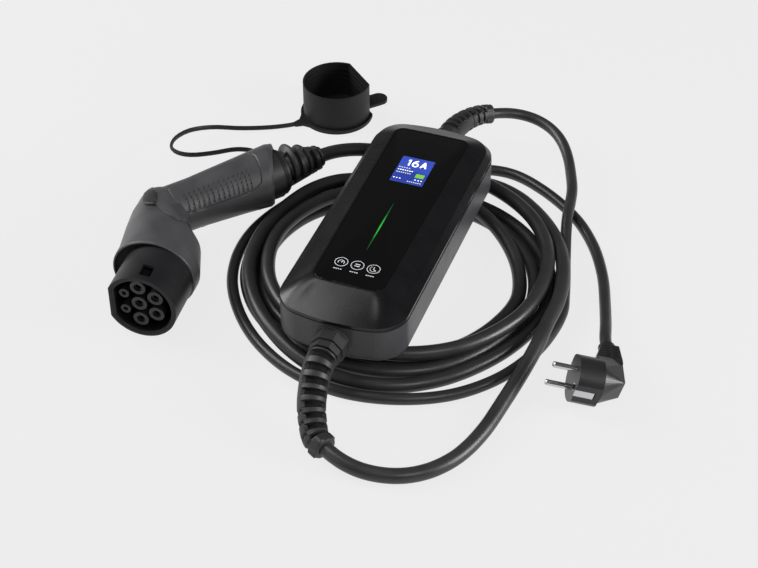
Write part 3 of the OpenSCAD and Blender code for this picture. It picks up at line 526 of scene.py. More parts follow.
@dataclass
class CableSet:
    """The vehicle cable and the mains cord, each on one smooth route from its boot to its far end.

    A ring row gives the angle in degrees about the ring centre, the radius and the height in millimetres, and
    the other rows give x, y and the height. A row without a height lies on the floor, at the rest height.
    """

    cable_d: float = 12.0
    cord_d: float = 9.5
    cable_rest: float = 6.1
    cord_rest: float = 4.85
    cable_grid: tuple[int, int] = (1500, 16)
    cord_grid: tuple[int, int] = (700, 14)
    ring_at: tuple[float, float] = (9.0, 2.0)
    vehicle_exit: tuple[float, float, float] = (26.0, -213.9, 11.2)
    supply_exit: tuple[float, float, float] = (22.5, 205.0, 35.0)
    connector_exit: tuple[float, float, float] = (-98.99, 95.52, 33.0)
    plug_exit: tuple[float, float, float] = (193.56, -41.1, 15.98)
    cable_out: tuple[Point, ...] = (
        (33.2, -217.4, 10.5), (40.8, -220, 9.5), (48.7, -221.5, 8.4), (56.2, -221.9, 7.4),
        (66.3, -221.2, 6.6), (76, -219.3, 6.2), (85.2, -216.2), (94.5, -211.2), (103, -204.4),
        (110.5, -195.8), (117, -185.6), (123.2, -171.5, 6.5), (128, -156, 7.5), (134.5, -120, 10.5),
        (140, -84, 15), (142.6, -57, 17.6))
    cable_ring: tuple[Point, ...] = (
        (-15, 138.6, 18), (-2, 134.8, 18), (12, 132.8, 17.7), (22, 132.8, 16.4), (32, 133.8, 14),
        (45, 136.2, 11.4), (55, 139, 9.3), (64, 142.2, 7.5), (73, 143, 6.4), (82, 139.3, 6.15), (90, 132.9),
        (98, 125.8), (106, 121.4, 7), (115, 120.1, 10.1), (126, 120.6, 14.2), (137, 122.4, 17.4),
        (148, 122.8, 18.4), (160, 121.6, 18.4), (172, 121.2, 18.4), (186, 122.4, 18.4), (200, 124.6, 18.4),
        (222, 128.4, 18.2), (237, 131.6, 16.2), (250, 134.6, 11.8), (262, 136.6, 8), (275, 137.4, 6.3),
        (288, 136.4), (301, 132.8), (318, 127.5), (338, 124.9), (360, 125), (380, 121.5), (400, 117),
        (425, 112.3), (450, 109), (468, 107.4), (479, 109.1), (490, 112.6), (502, 117.6), (515, 121.6),
        (530, 124.4), (545, 126.4), (560, 127.5), (585, 126), (600, 123.7), (615, 122), (630, 121.5),
        (645, 121.2), (660, 119.7), (678, 115.3), (698, 112.4), (720, 112.6), (740, 109.1), (760, 104.7),
        (785, 100), (810, 96.7), (828, 95.1), (839, 96.7), (850, 100.1), (862, 105.1), (875, 109.3),
        (890, 112.2), (905, 114.2), (920, 115), (945, 113.6), (960, 111.2), (975, 108.4), (990, 107.2),
        (1005, 106.6), (1020, 105.6), (1038, 102.4), (1058, 100), (1080, 100, 6.2), (1100, 96.4, 8.5),
        (1120, 93.8, 12.5), (1140, 93.8, 16.5), (1155, 95, 18.3), (1170, 97, 18.3), (1200, 100, 18.3),
        (1230, 105, 18.3), (1260, 109, 18.3), (1290, 110.2, 18.3), (1320, 110.8, 18.3), (1350, 112, 18.3),
        (1375, 113.5, 18.3), (1391, 114.5, 18.3), (1409, 114.7, 18.3), (1425, 116, 18.3),
        (1440, 117.3, 18.3), (1455, 119.6, 18.5), (1470, 122, 18.9), (1485, 124, 19), (1500, 125.6, 18.5),
        (1515, 127.6, 18.3), (1528, 129.7, 18.3))
    cable_home: tuple[Point, ...] = (
        (0, 131.8, 18.3), (-20, 134, 19.8), (-42, 133, 23), (-52, 130.8, 25), (-62, 126.8, 27),
        (-71, 121.8, 29), (-80, 115.3, 30.9), (-88, 108.3, 32.2), (-94, 101.8, 32.9))
    cord_out: tuple[Point, ...] = (
        (28.8, 209.9, 33.9), (38.9, 215.5, 32.4), (50, 218.3, 30.8), (61.5, 217.9, 29.2),
        (72.4, 214.3, 27.6), (82.1, 208, 26), (90.1, 199.7, 24.4), (96.5, 190.2, 22.9), (101.9, 180, 21.4),
        (109, 162.5, 19.7), (115.6, 142.6, 18), (118.6, 126, 16.2), (120.5, 111, 13.4), (124, 95, 9),
        (128.2, 79, 5.6), (132.6, 62), (138, 42), (143.2, 21))
    cord_ring: tuple[Point, ...] = (
        (0, 138.2), (-13, 140.2), (-27, 143.4), (-41, 147), (-55, 149.6), (-72, 149.8), (-91, 149.4),
        (-106, 146.8), (-120, 143.4), (-139, 140.2), (-158, 139.6), (-173, 138.8), (-185, 137.6),
        (-198, 135.6), (-212, 134.8), (-226, 134))
    cord_home: tuple[Point, ...] = (
        (-41, 125), (-18, 134), (4, 146), (22, 157.2), (31, 161.4), (41, 163.9), (51, 164.4), (61, 162.9),
        (72, 159), (84, 153), (107, 138), (130, 117), (149, 91), (166, 56, 5.15), (178, 18, 7.2),
        (182, 3, 9.6), (185.3, -10, 12.1), (187.6, -20.2, 14.2), (190, -30.6, 15.5))

    def round_ring(self, rows: Array) -> Array:
        """Turn ring rows into points of the box frame.

        Args:
            rows: Angle, radius and height of each row.

        Returns:
            Points by three.
        """
        angle, reach, height = rows.T
        angle = np.radians(angle)
        return np.stack([self.ring_at[0] + reach * np.cos(angle), self.ring_at[1] + reach * np.sin(angle),
                         height], 1)

    def cable_route(self) -> Array:
        """Route points of the vehicle cable, from its boot to the connector."""
        return np.vstack([[self.vehicle_exit], laid(self.cable_out, self.cable_rest),
                          self.round_ring(laid(self.cable_ring, self.cable_rest)), self.cable_home,
                          [self.connector_exit]])

    def cord_route(self) -> Array:
        """Route points of the mains cord, from its boot to the plug."""
        return np.vstack([[self.supply_exit], laid(self.cord_out, self.cord_rest),
                          self.round_ring(laid(self.cord_ring, self.cord_rest)),
                          laid(self.cord_home, self.cord_rest), [self.plug_exit]])

    def build(self, on_plug: Sequence[bpy.types.Object]) -> None:
        """Args:
            on_plug: Pieces that go with the plug besides its own nodes.
        """
        rows, columns = self.cable_grid
        cable = through(self.cable_route(), rows)
        cable[:, 2] = np.maximum(cable[:, 2], self.cable_d / 2)
        tube = Patch(sweep(cable, np.full(rows, self.cable_d / 2), columns), CABLE)
        piece = make_piece("vehicle_cable", [tube],
                           ["vehicle_lead", "connector_lead", "cable_coil"])
        self._declare(piece, cable, self.cable_d, "object", [])
        rows, columns = self.cord_grid
        cord = through(self.cord_route(), rows)
        tube = Patch(sweep(cord, np.full(rows, self.cord_d / 2), columns), CORD)
        piece = make_piece("mains_cord", [tube], ["supply_lead", "plug_lead"])
        plug = [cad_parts[name] for name in ("plug_body", "plug_pins", "earth_bracket")]
        self._declare(piece, cord, self.cord_d, "plug", [*plug, *on_plug])

    @staticmethod
    def _declare(piece: bpy.types.Object, path: Array, width: float, far_end: str,
                 held: Sequence[bpy.types.Object]) -> None:
        """Measure the cord's centre line from end to end in metres, and keep nothing of it.

        Args:
            piece: The tube. Not used.
            path: Its centre line in millimetres.
            width: Its diameter in millimetres. Not used.
            far_end: What is on its far end. Not used.
            held: Pieces that go with it. Not used.
        """
        line = (path + HOME) * MM
        float(lengths(line)[-1])


@dataclass
class ControlBox:
    """Cover, gloss panel, screen, light bar and touch marks, in millimetres from the middle of the box."""

    post_x: float = 26.3
    post_y: float = 106.2
    corner_r: float = 26.0
    bow: float = 3.0
    corner_steps: int = 14
    end_steps: int = 15
    side_steps: int = 14
    cover_z: float = 56.2
    skirt: float = 3.0
    top_z: float = 71.4
    set_in: float = 0.3
    ridge: float = 0.24
    ridge_rise: float = 0.22
    ridge_from: float = -100.0
    ridge_run: float = 150.0
    corner_rise: float = 0.42
    corner_turn: float = 77.0
    panel_far: tuple[float, float] = (24.0, 100.0)
    panel_near: tuple[float, float] = (21.0, -92.0)
    panel_r: float = 8.0
    panel_edge: tuple[tuple[float, float], ...] = ((-0.1, 1.5), (-0.05, 0.3), (-0.2, 0.08), (-0.45, 0.0))
    rim: float = 1.2
    print_z: float = 71.3
    print_depth: float = 0.1
    number_level: float = 0.07
    line_level: float = 0.06
    mark_level: float = 0.05
    screen_at: tuple[float, float] = (0.0, 53.5)
    screen_half: tuple[float, float] = (14.0, 17.75)
    bar_y: float = -24.5
    bar_half: tuple[float, float] = (1.35, 32.0)
    bar_steps: int = 61
    marks_y: float = -76.0
    mark_x: float = 13.3
    mark_r: float = 5.1

    def _spread(self) -> tuple[Array, Array]:
        """Lay out the stations of the far half of an outline, from its right side to its left side.

        Returns:
            How far each station is across the end, from 1 on the right to -1, and its outward angle.
        """
        lean = math.atan2(2 * self.bow, self.post_x)
        arc = np.linspace(0, np.pi / 2 - lean, self.corner_steps)
        across = np.linspace(1, -1, self.end_steps)[1:-1]
        tilt = np.pi / 2 - np.arctan2(2 * self.bow * across, self.post_x)
        corner = np.ones(self.corner_steps)
        return np.concatenate([corner, across, -corner]), np.concatenate([arc, tilt, np.pi - arc[::-1]])

    def plan(self, set_in: float) -> Array:
        """Outline of the box: the posts of each end lie on a shallow parabola, and that line is moved out.

        Args:
            set_in: How far the outline lies inside the box's widest outline.

        Returns:
            Stations by two.
        """
        share, angle = self._spread()
        reach = self.corner_r - set_in
        far = np.stack([self.post_x * share + reach * np.cos(angle),
                        self.post_y - self.bow * share ** 2 + reach * np.sin(angle)], 1)
        return self._join(far, -far)

    def _join(self, far: Array, near: Array) -> Array:
        """Join the two halves of an outline with evenly spaced stations along its sides.

        Args:
            far: Stations of the far half.
            near: Stations of the near half.

        Returns:
            Stations by two.
        """
        step = np.linspace(0, 1, self.side_steps)[1:-1, None]
        left, right = far[-1] + (near[0] - far[-1]) * step, near[-1] + (far[0] - near[-1]) * step
        return np.vstack([far, left, near, right])

    def panel_plan(self, grow: float) -> Array:
        """Outline of the tapered panel with the same stations as the box outline.

        Args:
            grow: How far the outline lies outside the panel.

        Returns:
            Stations by two.
        """
        share, angle = self._spread()
        reach = self.panel_r + grow
        outward = np.stack([np.cos(angle), np.sin(angle)], 1) * reach
        far = np.stack([self.panel_far[0] * share, np.full(len(share), self.panel_far[1])], 1) + outward
        near = np.stack([-self.panel_near[0] * share, np.full(len(share), self.panel_near[1])], 1) - outward
        return self._join(far, near)

    @staticmethod
    def stack(rows: Sequence[tuple[Array, float]]) -> Array:
        """Stack outlines at their heights into rows of points."""
        return np.stack([np.column_stack([outline, np.full(len(outline), height)])
                         for outline, height in rows])

    def build(self) -> None:
        """Make the cover, the panel and everything on the panel."""
        make_piece("cover_skin", [self._cover()], ["top_cover"], crease=30.0)
        panel = self.stack([(self.panel_plan(grow), self.print_z - drop) for grow, drop in self.panel_edge])
        make_piece("panel_glass", [Patch(panel, PANEL)], ["front_panel"])
        make_piece("screen_picture", self._screen(), ["display_module"])
        make_piece("light_strip", self._bar(), ["light_guide"])
        make_piece("touch_marks", self._marks())

    def _cover(self) -> Patch:
        """Loft the cover from the box outline to the panel's rim.

        Above the skirt the outline moves from the box to the panel in even shares. At the near end the height
        follows the share, so that the chin is one slope. Towards the far end a ridge rises at the ridge's
        share, with a steep strip below it and a flatter one above it. Round each near corner the height
        swells by half a sine wave, and by nothing at the foot and at the rim.

        Returns:
            The closed cover.
        """
        low, high, ridge = self.plan(self.set_in), self.panel_plan(self.rim), self.ridge
        share = np.concatenate([[0.0, 0.004, 0.02, 0.06, 0.14],
                                ridge + np.array([-0.02, -0.006, 0.0, 0.006, 0.02]),
                                np.linspace(0.3, 1.0, 15)])[:, None]
        along = np.clip((low[:, 1] - self.ridge_from) / self.ridge_run, 0, 1)
        peak = ridge + self.ridge_rise * along[None, :]
        rise = np.where(share < ridge, share / ridge * peak,
                        peak + (share - ridge) / (1 - ridge) * (1 - peak))
        turn = np.degrees(np.arctan2(-low[:, 1] - (self.post_y - self.bow),
                                     np.abs(low[:, 0]) - self.post_x))[None, :]
        swell = np.sin(np.pi * np.clip(turn / self.corner_turn, 0, 1))
        rise = rise + self.corner_rise * swell * share * (1 - share)
        start = self.cover_z + self.skirt
        height = start + (self.top_z - 0.02 - start) * rise
        slopes = np.dstack([low + (high - low) * share[..., None], height])
        foot = self.stack([(self.plan(2.4), self.cover_z), (self.plan(0.75), self.cover_z),
                           (self.plan(0.42), self.cover_z + 0.12), (low, self.cover_z + 0.5)])
        rim = self.stack([(self.panel_plan(self.rim - 0.3), self.top_z), (self.panel_plan(0.12), self.top_z),
                          (self.panel_plan(0.1), self.top_z - 1.4)])
        return Patch(np.vstack([foot, slopes, rim]), COVER)

    def _slab(self, middle: Point, half: Point, finish: Finish, level: float, corner: float) -> Patch:
        """Thin rounded plate printed on the panel.

        Args:
            middle: Its middle.
            half: Half its width and half its length.
            finish: What it is made of.
            level: How far its face stands above the panel.
            corner: Corner radius.

        Returns:
            The closed plate.
        """
        angle = round_angles(24) + np.pi / 24
        turn = np.stack([np.cos(angle), np.sin(angle)], 1)
        outline = np.asarray(middle) + np.sign(turn) * (np.asarray(half) - corner) + corner * turn
        low, high = self.print_z - self.print_depth, self.print_z + level
        return Patch(self.stack([(outline, low), (outline, high)]), finish)

    def _ribbon(self, line: Array, side: Array, finish: Finish, level: float, closed: bool = False) -> Patch:
        """Flat strip between a line moved to one side and the same line moved to the other side.

        Args:
            line: Points by two.
            side: How far each point is moved, by two.
            finish: What it is made of.
            level: How far its face stands above the panel.
            closed: True for a line that meets itself.

        Returns:
            The closed strip.
        """
        low, high = self.print_z - self.print_depth, self.print_z + level
        corners = [np.column_stack([line + sign * side, np.full(len(line), height)])
                   for sign, height in ((1, low), (1, high), (-1, high), (-1, low))]
        return Patch(np.stack(corners, 1), finish, ring=closed)

    def _band(self, line: Array, width: float, finish: Finish, level: float, closed: bool = False) -> Patch:
        """Flat line of even width: each point of the line is moved half the width to both sides.

        Args:
            line: Points by two.
            width: Width of the line.
            finish: What it is made of.
            level: How far its face stands above the panel.
            closed: True for a line that meets itself.

        Returns:
            The closed band.
        """
        ahead = unit(np.roll(line, -1, 0) - np.roll(line, 1, 0) if closed else np.gradient(line, axis=0))
        side = np.stack([-ahead[:, 1], ahead[:, 0]], 1) * width / 2
        return self._ribbon(line, side, finish, level, closed)

    @staticmethod
    def arc(middle: Point, reach: Point, first: float, last: float, count: int = 36) -> Array:
        """Points on an ellipse from one angle to another, in degrees."""
        angle = np.radians(np.linspace(first, last, count))
        return np.asarray(middle) + np.stack([reach[0] * np.cos(angle), reach[1] * np.sin(angle)], 1)

    def _screen(self) -> list[Patch]:
        """Lit screen with a large number, plain lines and a green field.

        Returns:
            The plates and bands of the picture.
        """
        x, y = self.screen_at
        picture = [self._slab((x, y), self.screen_half, SCREEN, 0.02, 0.6),
                   self._slab((x, y - 9.0), (13.4, 8.1), SCREEN_DIM, 0.03, 0.4)]
        top = y + 10.2
        strokes = [[(x - 7.4, top + 2.4), (x - 5.9, top + 4.0), (x - 5.9, top - 4.0)],
                   [(x + 4.4, top - 4.0), (x + 6.6, top + 4.0), (x + 8.8, top - 4.0)],
                   [(x + 5.2, top - 1.6), (x + 8.0, top - 1.6)]]
        for stroke in strokes:
            corners = np.array(stroke)
            line = np.vstack([np.linspace(corners[k], corners[k + 1], 6) for k in range(len(corners) - 1)])
            keep = np.concatenate([[True], np.any(np.diff(line, axis=0), axis=1)])
            picture.append(self._band(line[keep], 1.35, NUMBER, self.number_level))
        bowl = self.arc((x - 0.6, top - 1.6), (2.2, 2.35), 0, 350)
        hook = self.arc((x + 1.2, top - 1.0), (4.0, 4.9), 96, 190)
        picture.append(self._band(bowl, 1.3, NUMBER, self.number_level, closed=True))
        picture.append(self._band(hook, 1.3, NUMBER, self.number_level))
        lines = ((-7.8, 2.6, 4.2, LINE), (-6.0, -0.9, 6.0, NUMBER), (-6.4, -4.4, 5.6, LINE),
                 (-9.4, -12.6, 2.6, NUMBER), (8.6, -11.0, 2.6, NUMBER), (6.0, -14.6, 5.4, LINE))
        for left, up, half, finish in lines:
            dashes = np.linspace(-half, half, max(3, int(half * 1.3)))
            size = (half / len(dashes) * 0.72, 0.5)
            picture += [self._slab((x + left + dash, y + up), size, finish, self.line_level, 0.2)
                        for dash in dashes]
        picture.append(self._slab((x + 8.0, y - 5.2), (3.7, 2.6), FIELD, self.line_level, 0.4))
        return picture

    def _bar(self) -> list[Patch]:
        """Thin light bar that tapers to both ends, with a bright core.

        Returns:
            The outer and the inner strip.
        """
        along = np.linspace(-1, 1, self.bar_steps)
        none = np.zeros_like(along)
        strips = []
        for wide, long, finish, level in ((0.62, 1.0, LIGHT_EDGE, 0.04), (0.36, 0.5, LIGHT, 0.07)):
            half = self.bar_half[0] * wide * (1 - np.abs(along) ** 1.4) + 0.05
            line = np.stack([none, self.bar_y + self.bar_half[1] * long * along], 1)
            strips.append(self._ribbon(line, np.stack([half, none], 1), finish, level))
        return strips

    def _marks(self) -> list[Patch]:
        """Three ringed touch marks, a dial, two lines and a clock, each over a row of plain dashes.

        Returns:
            The bands of the marks.
        """
        x, y, marks = self.mark_x, self.marks_y, []
        for middle in (-x, 0.0, x):
            ring = self.arc((middle, y), (self.mark_r, self.mark_r), 0, 352, 45)
            marks.append(self._band(ring, 0.46, MARK, self.mark_level, closed=True))
            marks += [self._slab((middle + dash, y - 8.7), (0.62, 0.45), MARK, self.mark_level, 0.2)
                      for dash in (-2.7, -0.9, 0.9, 2.7)]
        strokes = [(self.arc((-x, y - 0.4), (2.5, 2.5), -30, 210, 25), 0.45),
                   (np.linspace((-x, y - 0.8), (-x + 1.3, y + 2.0), 5), 0.55),
                   (np.linspace((-2.0, y - 1.1), (2.0, y - 1.1), 4), 0.75),
                   (np.linspace((-2.0, y + 1.1), (2.0, y + 1.1), 4), 0.75),
                   (np.linspace((x, y - 0.4), (x, y + 2.4), 4), 0.55),
                   (np.linspace((x - 0.2, y - 0.5), (x + 2.0, y - 1.2), 4), 0.55),
                   (self.arc((x, y), (2.9, 2.9), 120, 330, 25), 0.4)]
        return marks + [self._band(line, width, MARK, self.mark_level) for line, width in strokes]


@dataclass
class BendBoot:
    """Ribbed bend protector along a route: ribs round a near-black core of painted shade, held together by a
    web on each side.

    The radius at a distance along the route and an angle round it is the core's, plus the rib height where a
    rib or a web stands there. Towards the end the webs are notched between the slots. A swell is a
    bell-shaped hump on one side. The last stretch is a collar that is squared off by four lugs.

    Attributes:
        name: Name of the skin.
        node: The solid that it replaces.
        route: Points on its middle line.
        rib_r: Radius over the ribs at its start and its end.
        core_r: Radius of the core at its start and its end.
        ribs: Number of slots.
        plain: Length before the first slot.
        collar: Length of the end collar.
        collar_r: Radius of the end collar.
        square: How much farther the lugs reach than the collar.
        slot_at: Angle in degrees of the middle of the slots.
        swells: Distance, height and half length of each hump.
        slot_half: Half a slot's width, as a share of the ribs' pitch.
        web: Cosine of the angle at which a slot meets the web.
        notch_half: Half a notch's width, as a share of the ribs' pitch.
        notch_depth: Depth of a notch, as a share of the ribs' height.
        notch_from: Share of the slots that are passed before the notches start.
        swell_at: Angle of the swells' top in radians.
        lug_at: Angle of the lugs' flat sides in radians.
        lug_flat: Distance of the lugs' flat sides, as a share of the collar's radius.
        soft: Length over which the collar's edges are rounded.
        end_soft: Length over which both ends are rounded.
        end_drop: How far the ends are rounded inward.
        rows: Points along the route.
        columns: Points round it.
    """

    name: str
    node: str
    route: tuple[Point, ...]
    rib_r: tuple[float, float]
    core_r: tuple[float, float]
    ribs: int
    plain: float
    collar: float
    collar_r: float
    square: float
    slot_at: float = 74.0
    swells: tuple[tuple[float, float, float], ...] = ()
    slot_half: float = 0.27
    web: float = 0.55
    notch_half: float = 0.16
    notch_depth: float = 0.7
    notch_from: float = 0.6
    swell_at: float = 0.9
    lug_at: float = -0.4
    lug_flat: float = 0.93
    soft: float = 0.8
    end_soft: float = 0.9
    end_drop: float = 0.7
    rows: int = 320
    columns: int = 72

    def build(self) -> None:
        """Make the boot with its near-black core of painted shade and put it in place of its plain solid."""
        path = through(self.route, self.rows)
        along, angle = lengths(path)[:, None], round_angles(self.columns)[None, :]
        whole = along[-1, 0]
        core = np.interp(along, [0, whole], self.core_r)
        radius = self._collared(along, angle, self._ribbed(along, angle, core))
        # painted shade: along the middle the near-black core tube stands just above the core radius, so it
        # shows as dark slot floors
        hidden = np.clip(np.minimum(along, whole - along) / 3.0, 0, 1) * 0.6 - 0.3
        inner = sweep(path[2:-2], (core + hidden)[2:-2], self.columns)
        outer = sweep(path, radius, self.columns)
        make_piece(self.name, [Patch(outer, RUBBER), Patch(inner, SHADE)], [self.node])

    def _ribbed(self, along: Array, angle: Array, core: Array) -> Array:
        """Radius over the ribs, webs, slots, notches and swells.

        Args:
            along: Distances along the route, as a column.
            angle: Angles round it, as a row.
            core: Radius of the core, as a column.

        Returns:
            Rows by columns.
        """
        whole = along[-1, 0]
        rib = np.interp(along, [0, whole], self.rib_r)
        pitch = (whole - self.collar - self.plain) / self.ribs
        turn = (along - self.plain) / pitch
        across = np.abs(np.cos(angle - math.radians(self.slot_at)))
        slot = fade(self.slot_half - np.abs(turn - np.round(turn)), 0.07) * fade(across - self.web, 0.06)
        half_way = np.abs(turn - np.floor(turn) - 0.5)
        notch = self.notch_depth * fade(self.notch_half - half_way, 0.07) * fade(0.5 - across, 0.1)
        notch = notch * (turn > self.notch_from * self.ribs)
        inside = (along > self.plain - 0.4 * pitch) & (along < whole - self.collar + 0.3 * pitch)
        radius = rib - (rib - core) * np.maximum(slot, notch) * inside
        facing = 0.5 + 0.5 * np.cos(angle - self.swell_at)
        for at, height, half in self.swells:
            radius = radius + height * np.exp(-((along - at) / half) ** 2) * facing
        return radius

    def _collared(self, along: Array, angle: Array, radius: Array) -> Array:
        """Blend the ribs into the end collar with its four lugs, and round both ends.

        Args:
            along: Distances along the route, as a column.
            angle: Angles round it, as a row.
            radius: Radius over the ribs.

        Returns:
            Rows by columns.
        """
        whole = along[-1, 0]
        edge = fade(along - (whole - self.collar), self.soft)
        flat = np.maximum(np.abs(np.cos(angle - self.lug_at)), np.abs(np.sin(angle - self.lug_at)))
        boxed = np.clip(self.collar_r * self.lug_flat / flat, self.collar_r, self.collar_r * self.square)
        lug = fade(whole - 1.2 - along, self.soft)
        lug = lug * np.clip((along - whole + self.collar - 1.0) / self.soft, 0, 1)
        collar = self.collar_r + (boxed - self.collar_r) * lug
        radius = radius * (1 - edge) + collar * edge
        ends = np.clip(np.minimum(along, whole - along) / self.end_soft, 0, 1)
        return radius - self.end_drop * (1 - np.sqrt(ends * (2 - ends)))


@dataclass
class VehicleConnector:
    """Skin of the vehicle connector: front housing, elbow with its block, handle with its pad, and nose lip.

    The connector's own frame has its face at the origin and y running back along the nose. The housing is a
    slanting cone, and the handle a cone that leaves the elbow at an angle.
    """

    at: tuple[float, float, float] = (-158.5, -139.4, 33.0)
    yaw: float = 5.0
    elbow: tuple[float, float] = (-24.0, 116.4)
    lean: float = 42.7
    station_y: tuple[float, ...] = (40.0, 52.0, 78.5, 100.0, 116.4, 122.0, 126.0, 130.0)
    station_x: tuple[float, ...] = (-4.0, -4.0, -10.5, -20.6, -24.0, -24.0, -24.0, -24.0)
    station_r: tuple[float, ...] = (32.6, 33.0, 32.0, 25.9, 22.6, 21.9, 20.5, 18.0)
    station_wide: tuple[float, ...] = (2.4, 2.2, 1.0, 0.0, 0.0, 0.0, 0.0, 0.0)
    seam_back: float = 97.0
    seam_dip: tuple[float, float, float] = (20.0, 68.0, 26.0)
    seam_climb: tuple[float, float, float] = (27.0, 85.0, 46.0)
    elbow_r: float = 22.8
    handle_r: tuple[float, ...] = (21.4, 21.6, 24.2, 26.2, 24.8)
    handle_t: tuple[float, ...] = (-6.0, 30.0, 73.0, 100.0, 105.0)
    end_skew: float = 12.1
    pad_mid: tuple[float, float] = (47.0, 66.0)
    pad_half: tuple[float, float] = (42.0, 46.0)
    pad_rise: float = 0.55
    outline_depth: float = 0.75
    groove_first: float = 16.0
    groove_pitch: float = 4.6
    grooves: int = 14
    groove_turn: float = 0.36
    groove_depth: float = 0.85
    nose_r: float = 29.5
    nose_flat: float = 26.0

    def place(self, local: Array) -> Array:
        """Turn the connector's frame into the box frame, and flatten what reaches below the floor.

        Args:
            local: Points in the connector's frame.

        Returns:
            Points in the box frame.
        """
        turn = math.radians(self.yaw)
        x, y, z = np.moveaxis(np.asarray(local, float), -1, 0)
        return np.stack([x * math.cos(turn) - y * math.sin(turn) + self.at[0],
                         x * math.sin(turn) + y * math.cos(turn) + self.at[1],
                         np.maximum(z + self.at[2], 0.0)], -1)

    def cone(self, back: Array, angle: Array, lift: Array) -> Array:
        """Points on the housing, an oval tube whose middle, height and width change from station to station.

        Args:
            back: Distance behind the connector's face.
            angle: Angle round the tube, 0 on the inner side of the elbow and a quarter turn on top.
            lift: Height above the tube.

        Returns:
            Points in the connector's frame.
        """
        middle, radius, wide = (np.interp(back, self.station_y, values)
                                for values in (self.station_x, self.station_r, self.station_wide))
        radius = radius + lift
        return np.stack([middle + (radius + wide) * np.cos(angle), back + 0 * angle,
                         radius * np.sin(angle)], -1)

    def parting(self, angle: Array) -> Array:
        """Distance back of the line between housing and grip.

        From the inner side of the elbow the line dips forward in a bell shape, and farther round it climbs in
        a smooth step to the outside of the elbow. Above and below are alike.

        Args:
            angle: Angles round the tube.

        Returns:
            Distance behind the face for each angle.
        """
        away = np.degrees(np.abs(np.angle(np.exp(1j * angle))))
        depth, lowest, spread = self.seam_dip
        height, first, run = self.seam_climb
        climb = np.clip((away - first) / run, 0, 1)
        dip = depth * np.exp(-((away - lowest) / spread) ** 2)
        return self.seam_back - dip + height * climb ** 2 * (3 - 2 * climb)

    def from_elbow(self, along: Array, out: Array, up: Array) -> Array:
        """Points about the handle's line, which leaves the elbow at the lean angle.

        Args:
            along: Distance from the elbow.
            out: Distance to the inner side.
            up: Height above the line.

        Returns:
            Points in the connector's frame.
        """
        lean = math.radians(self.lean)
        return np.stack([self.elbow[0] + along * math.sin(lean) + out * math.cos(lean),
                         self.elbow[1] + along * math.cos(lean) - out * math.sin(lean), up + 0 * along], -1)

    def handle(self, along: Array, angle: Array, lift: Array) -> Array:
        """Points on the handle, a cone about the handle's line.

        Towards its end the rings tilt, so that the outer side reaches farther than the inner side.

        Args:
            along: Distance from the elbow.
            angle: Angle round the handle, 0 on the inner side and a quarter turn on top.
            lift: Height above the cone.

        Returns:
            Points in the connector's frame.
        """
        radius = np.interp(along, self.handle_t, self.handle_r) + lift
        tilt = np.clip((along - 50.0) / 55.0, 0, 1.1) ** 2
        along = along - self.end_skew * np.cos(angle) * tilt
        return self.from_elbow(along, radius * np.cos(angle), radius * np.sin(angle))

    def build(self) -> None:
        """Make the housing skin, the grip skin and the lip of the nose."""
        make_piece("housing_skin", [self._housing(), self._shade_plate()], ["front_housing"],
                   crease=34.0)
        grip = [self._elbow_sleeve(), self._elbow_ball(), self._handle(), self._neck(), self._block()]
        make_piece("grip_skin", [*grip, *self._heads()],
                   ["grip_upper", "grip_lower", "grip_screws"], crease=34.0)
        make_piece("nose_lip", [self._lip()])

    def _housing(self) -> Patch:
        """Run the cone from its rounded front edge to the parting line.

        Returns:
            The closed housing.
        """
        angle = round_angles(128)[None, :]
        share = np.linspace(0, 1, 60)[:, None]
        front = self.station_y[0]
        back = front + 1.4 + share * (self.parting(angle) - 0.4 - front)
        body = self.cone(back, angle, np.zeros_like(back))
        lip = [self.cone(np.full_like(angle, front + step), angle, np.full_like(angle, -drop))
               for step, drop in ((3.0, 1.5), (0.0, 1.45), (0.0, 0.95), (0.25, 0.4), (0.75, 0.08))]
        return Patch(self.place(np.vstack([*lip, body])), HOUSING)

    def _shade_plate(self) -> Patch:
        """Close the gap between nose and housing with a dark plate of painted shade.

        Returns:
            The closed plate.
        """
        angle = round_angles(96)[None, :]
        rows = [self.cone(np.full_like(angle, self.station_y[0] + step), angle, np.full_like(angle, -1.52))
                for step in (1.6, 2.8)]
        return Patch(self.place(np.vstack(rows)), SHADE)

    def _elbow_sleeve(self) -> Patch:
        """Run the grip's front part over the cone, with a raised band behind the parting line.

        Returns:
            The closed sleeve.
        """
        angle = round_angles(128)[None, :]
        step = np.array([0.0, 0.0, 0.25, 0.8, 2.0, 4.6, 5.2, 6.2, 9.0, 14.0, 20.0, 27.0])[:, None]
        lift = np.array([-1.5, 0.5, 1.1, 1.5, 1.7, 1.7, 1.5, 0.95, 0.8, 0.7, 0.5, 0.2])[:, None]
        back = np.minimum(self.parting(angle) + step, self.station_y[-1])
        return Patch(self.place(self.cone(back, angle, lift + 0 * back)), GRIP)

    def _elbow_ball(self) -> Patch:
        """Round off the elbow with a sphere.

        Returns:
            The closed sphere.
        """
        tilt = np.linspace(-np.pi / 2 + 0.02, np.pi / 2 - 0.02, 40)[:, None]
        angle = round_angles(72)[None, :]
        ball = np.stack([self.elbow[0] + self.elbow_r * np.cos(tilt) * np.cos(angle),
                         self.elbow[1] + self.elbow_r * np.cos(tilt) * np.sin(angle),
                         self.elbow_r * np.sin(tilt) + 0 * angle], -1)
        return Patch(self.place(ball), GRIP)

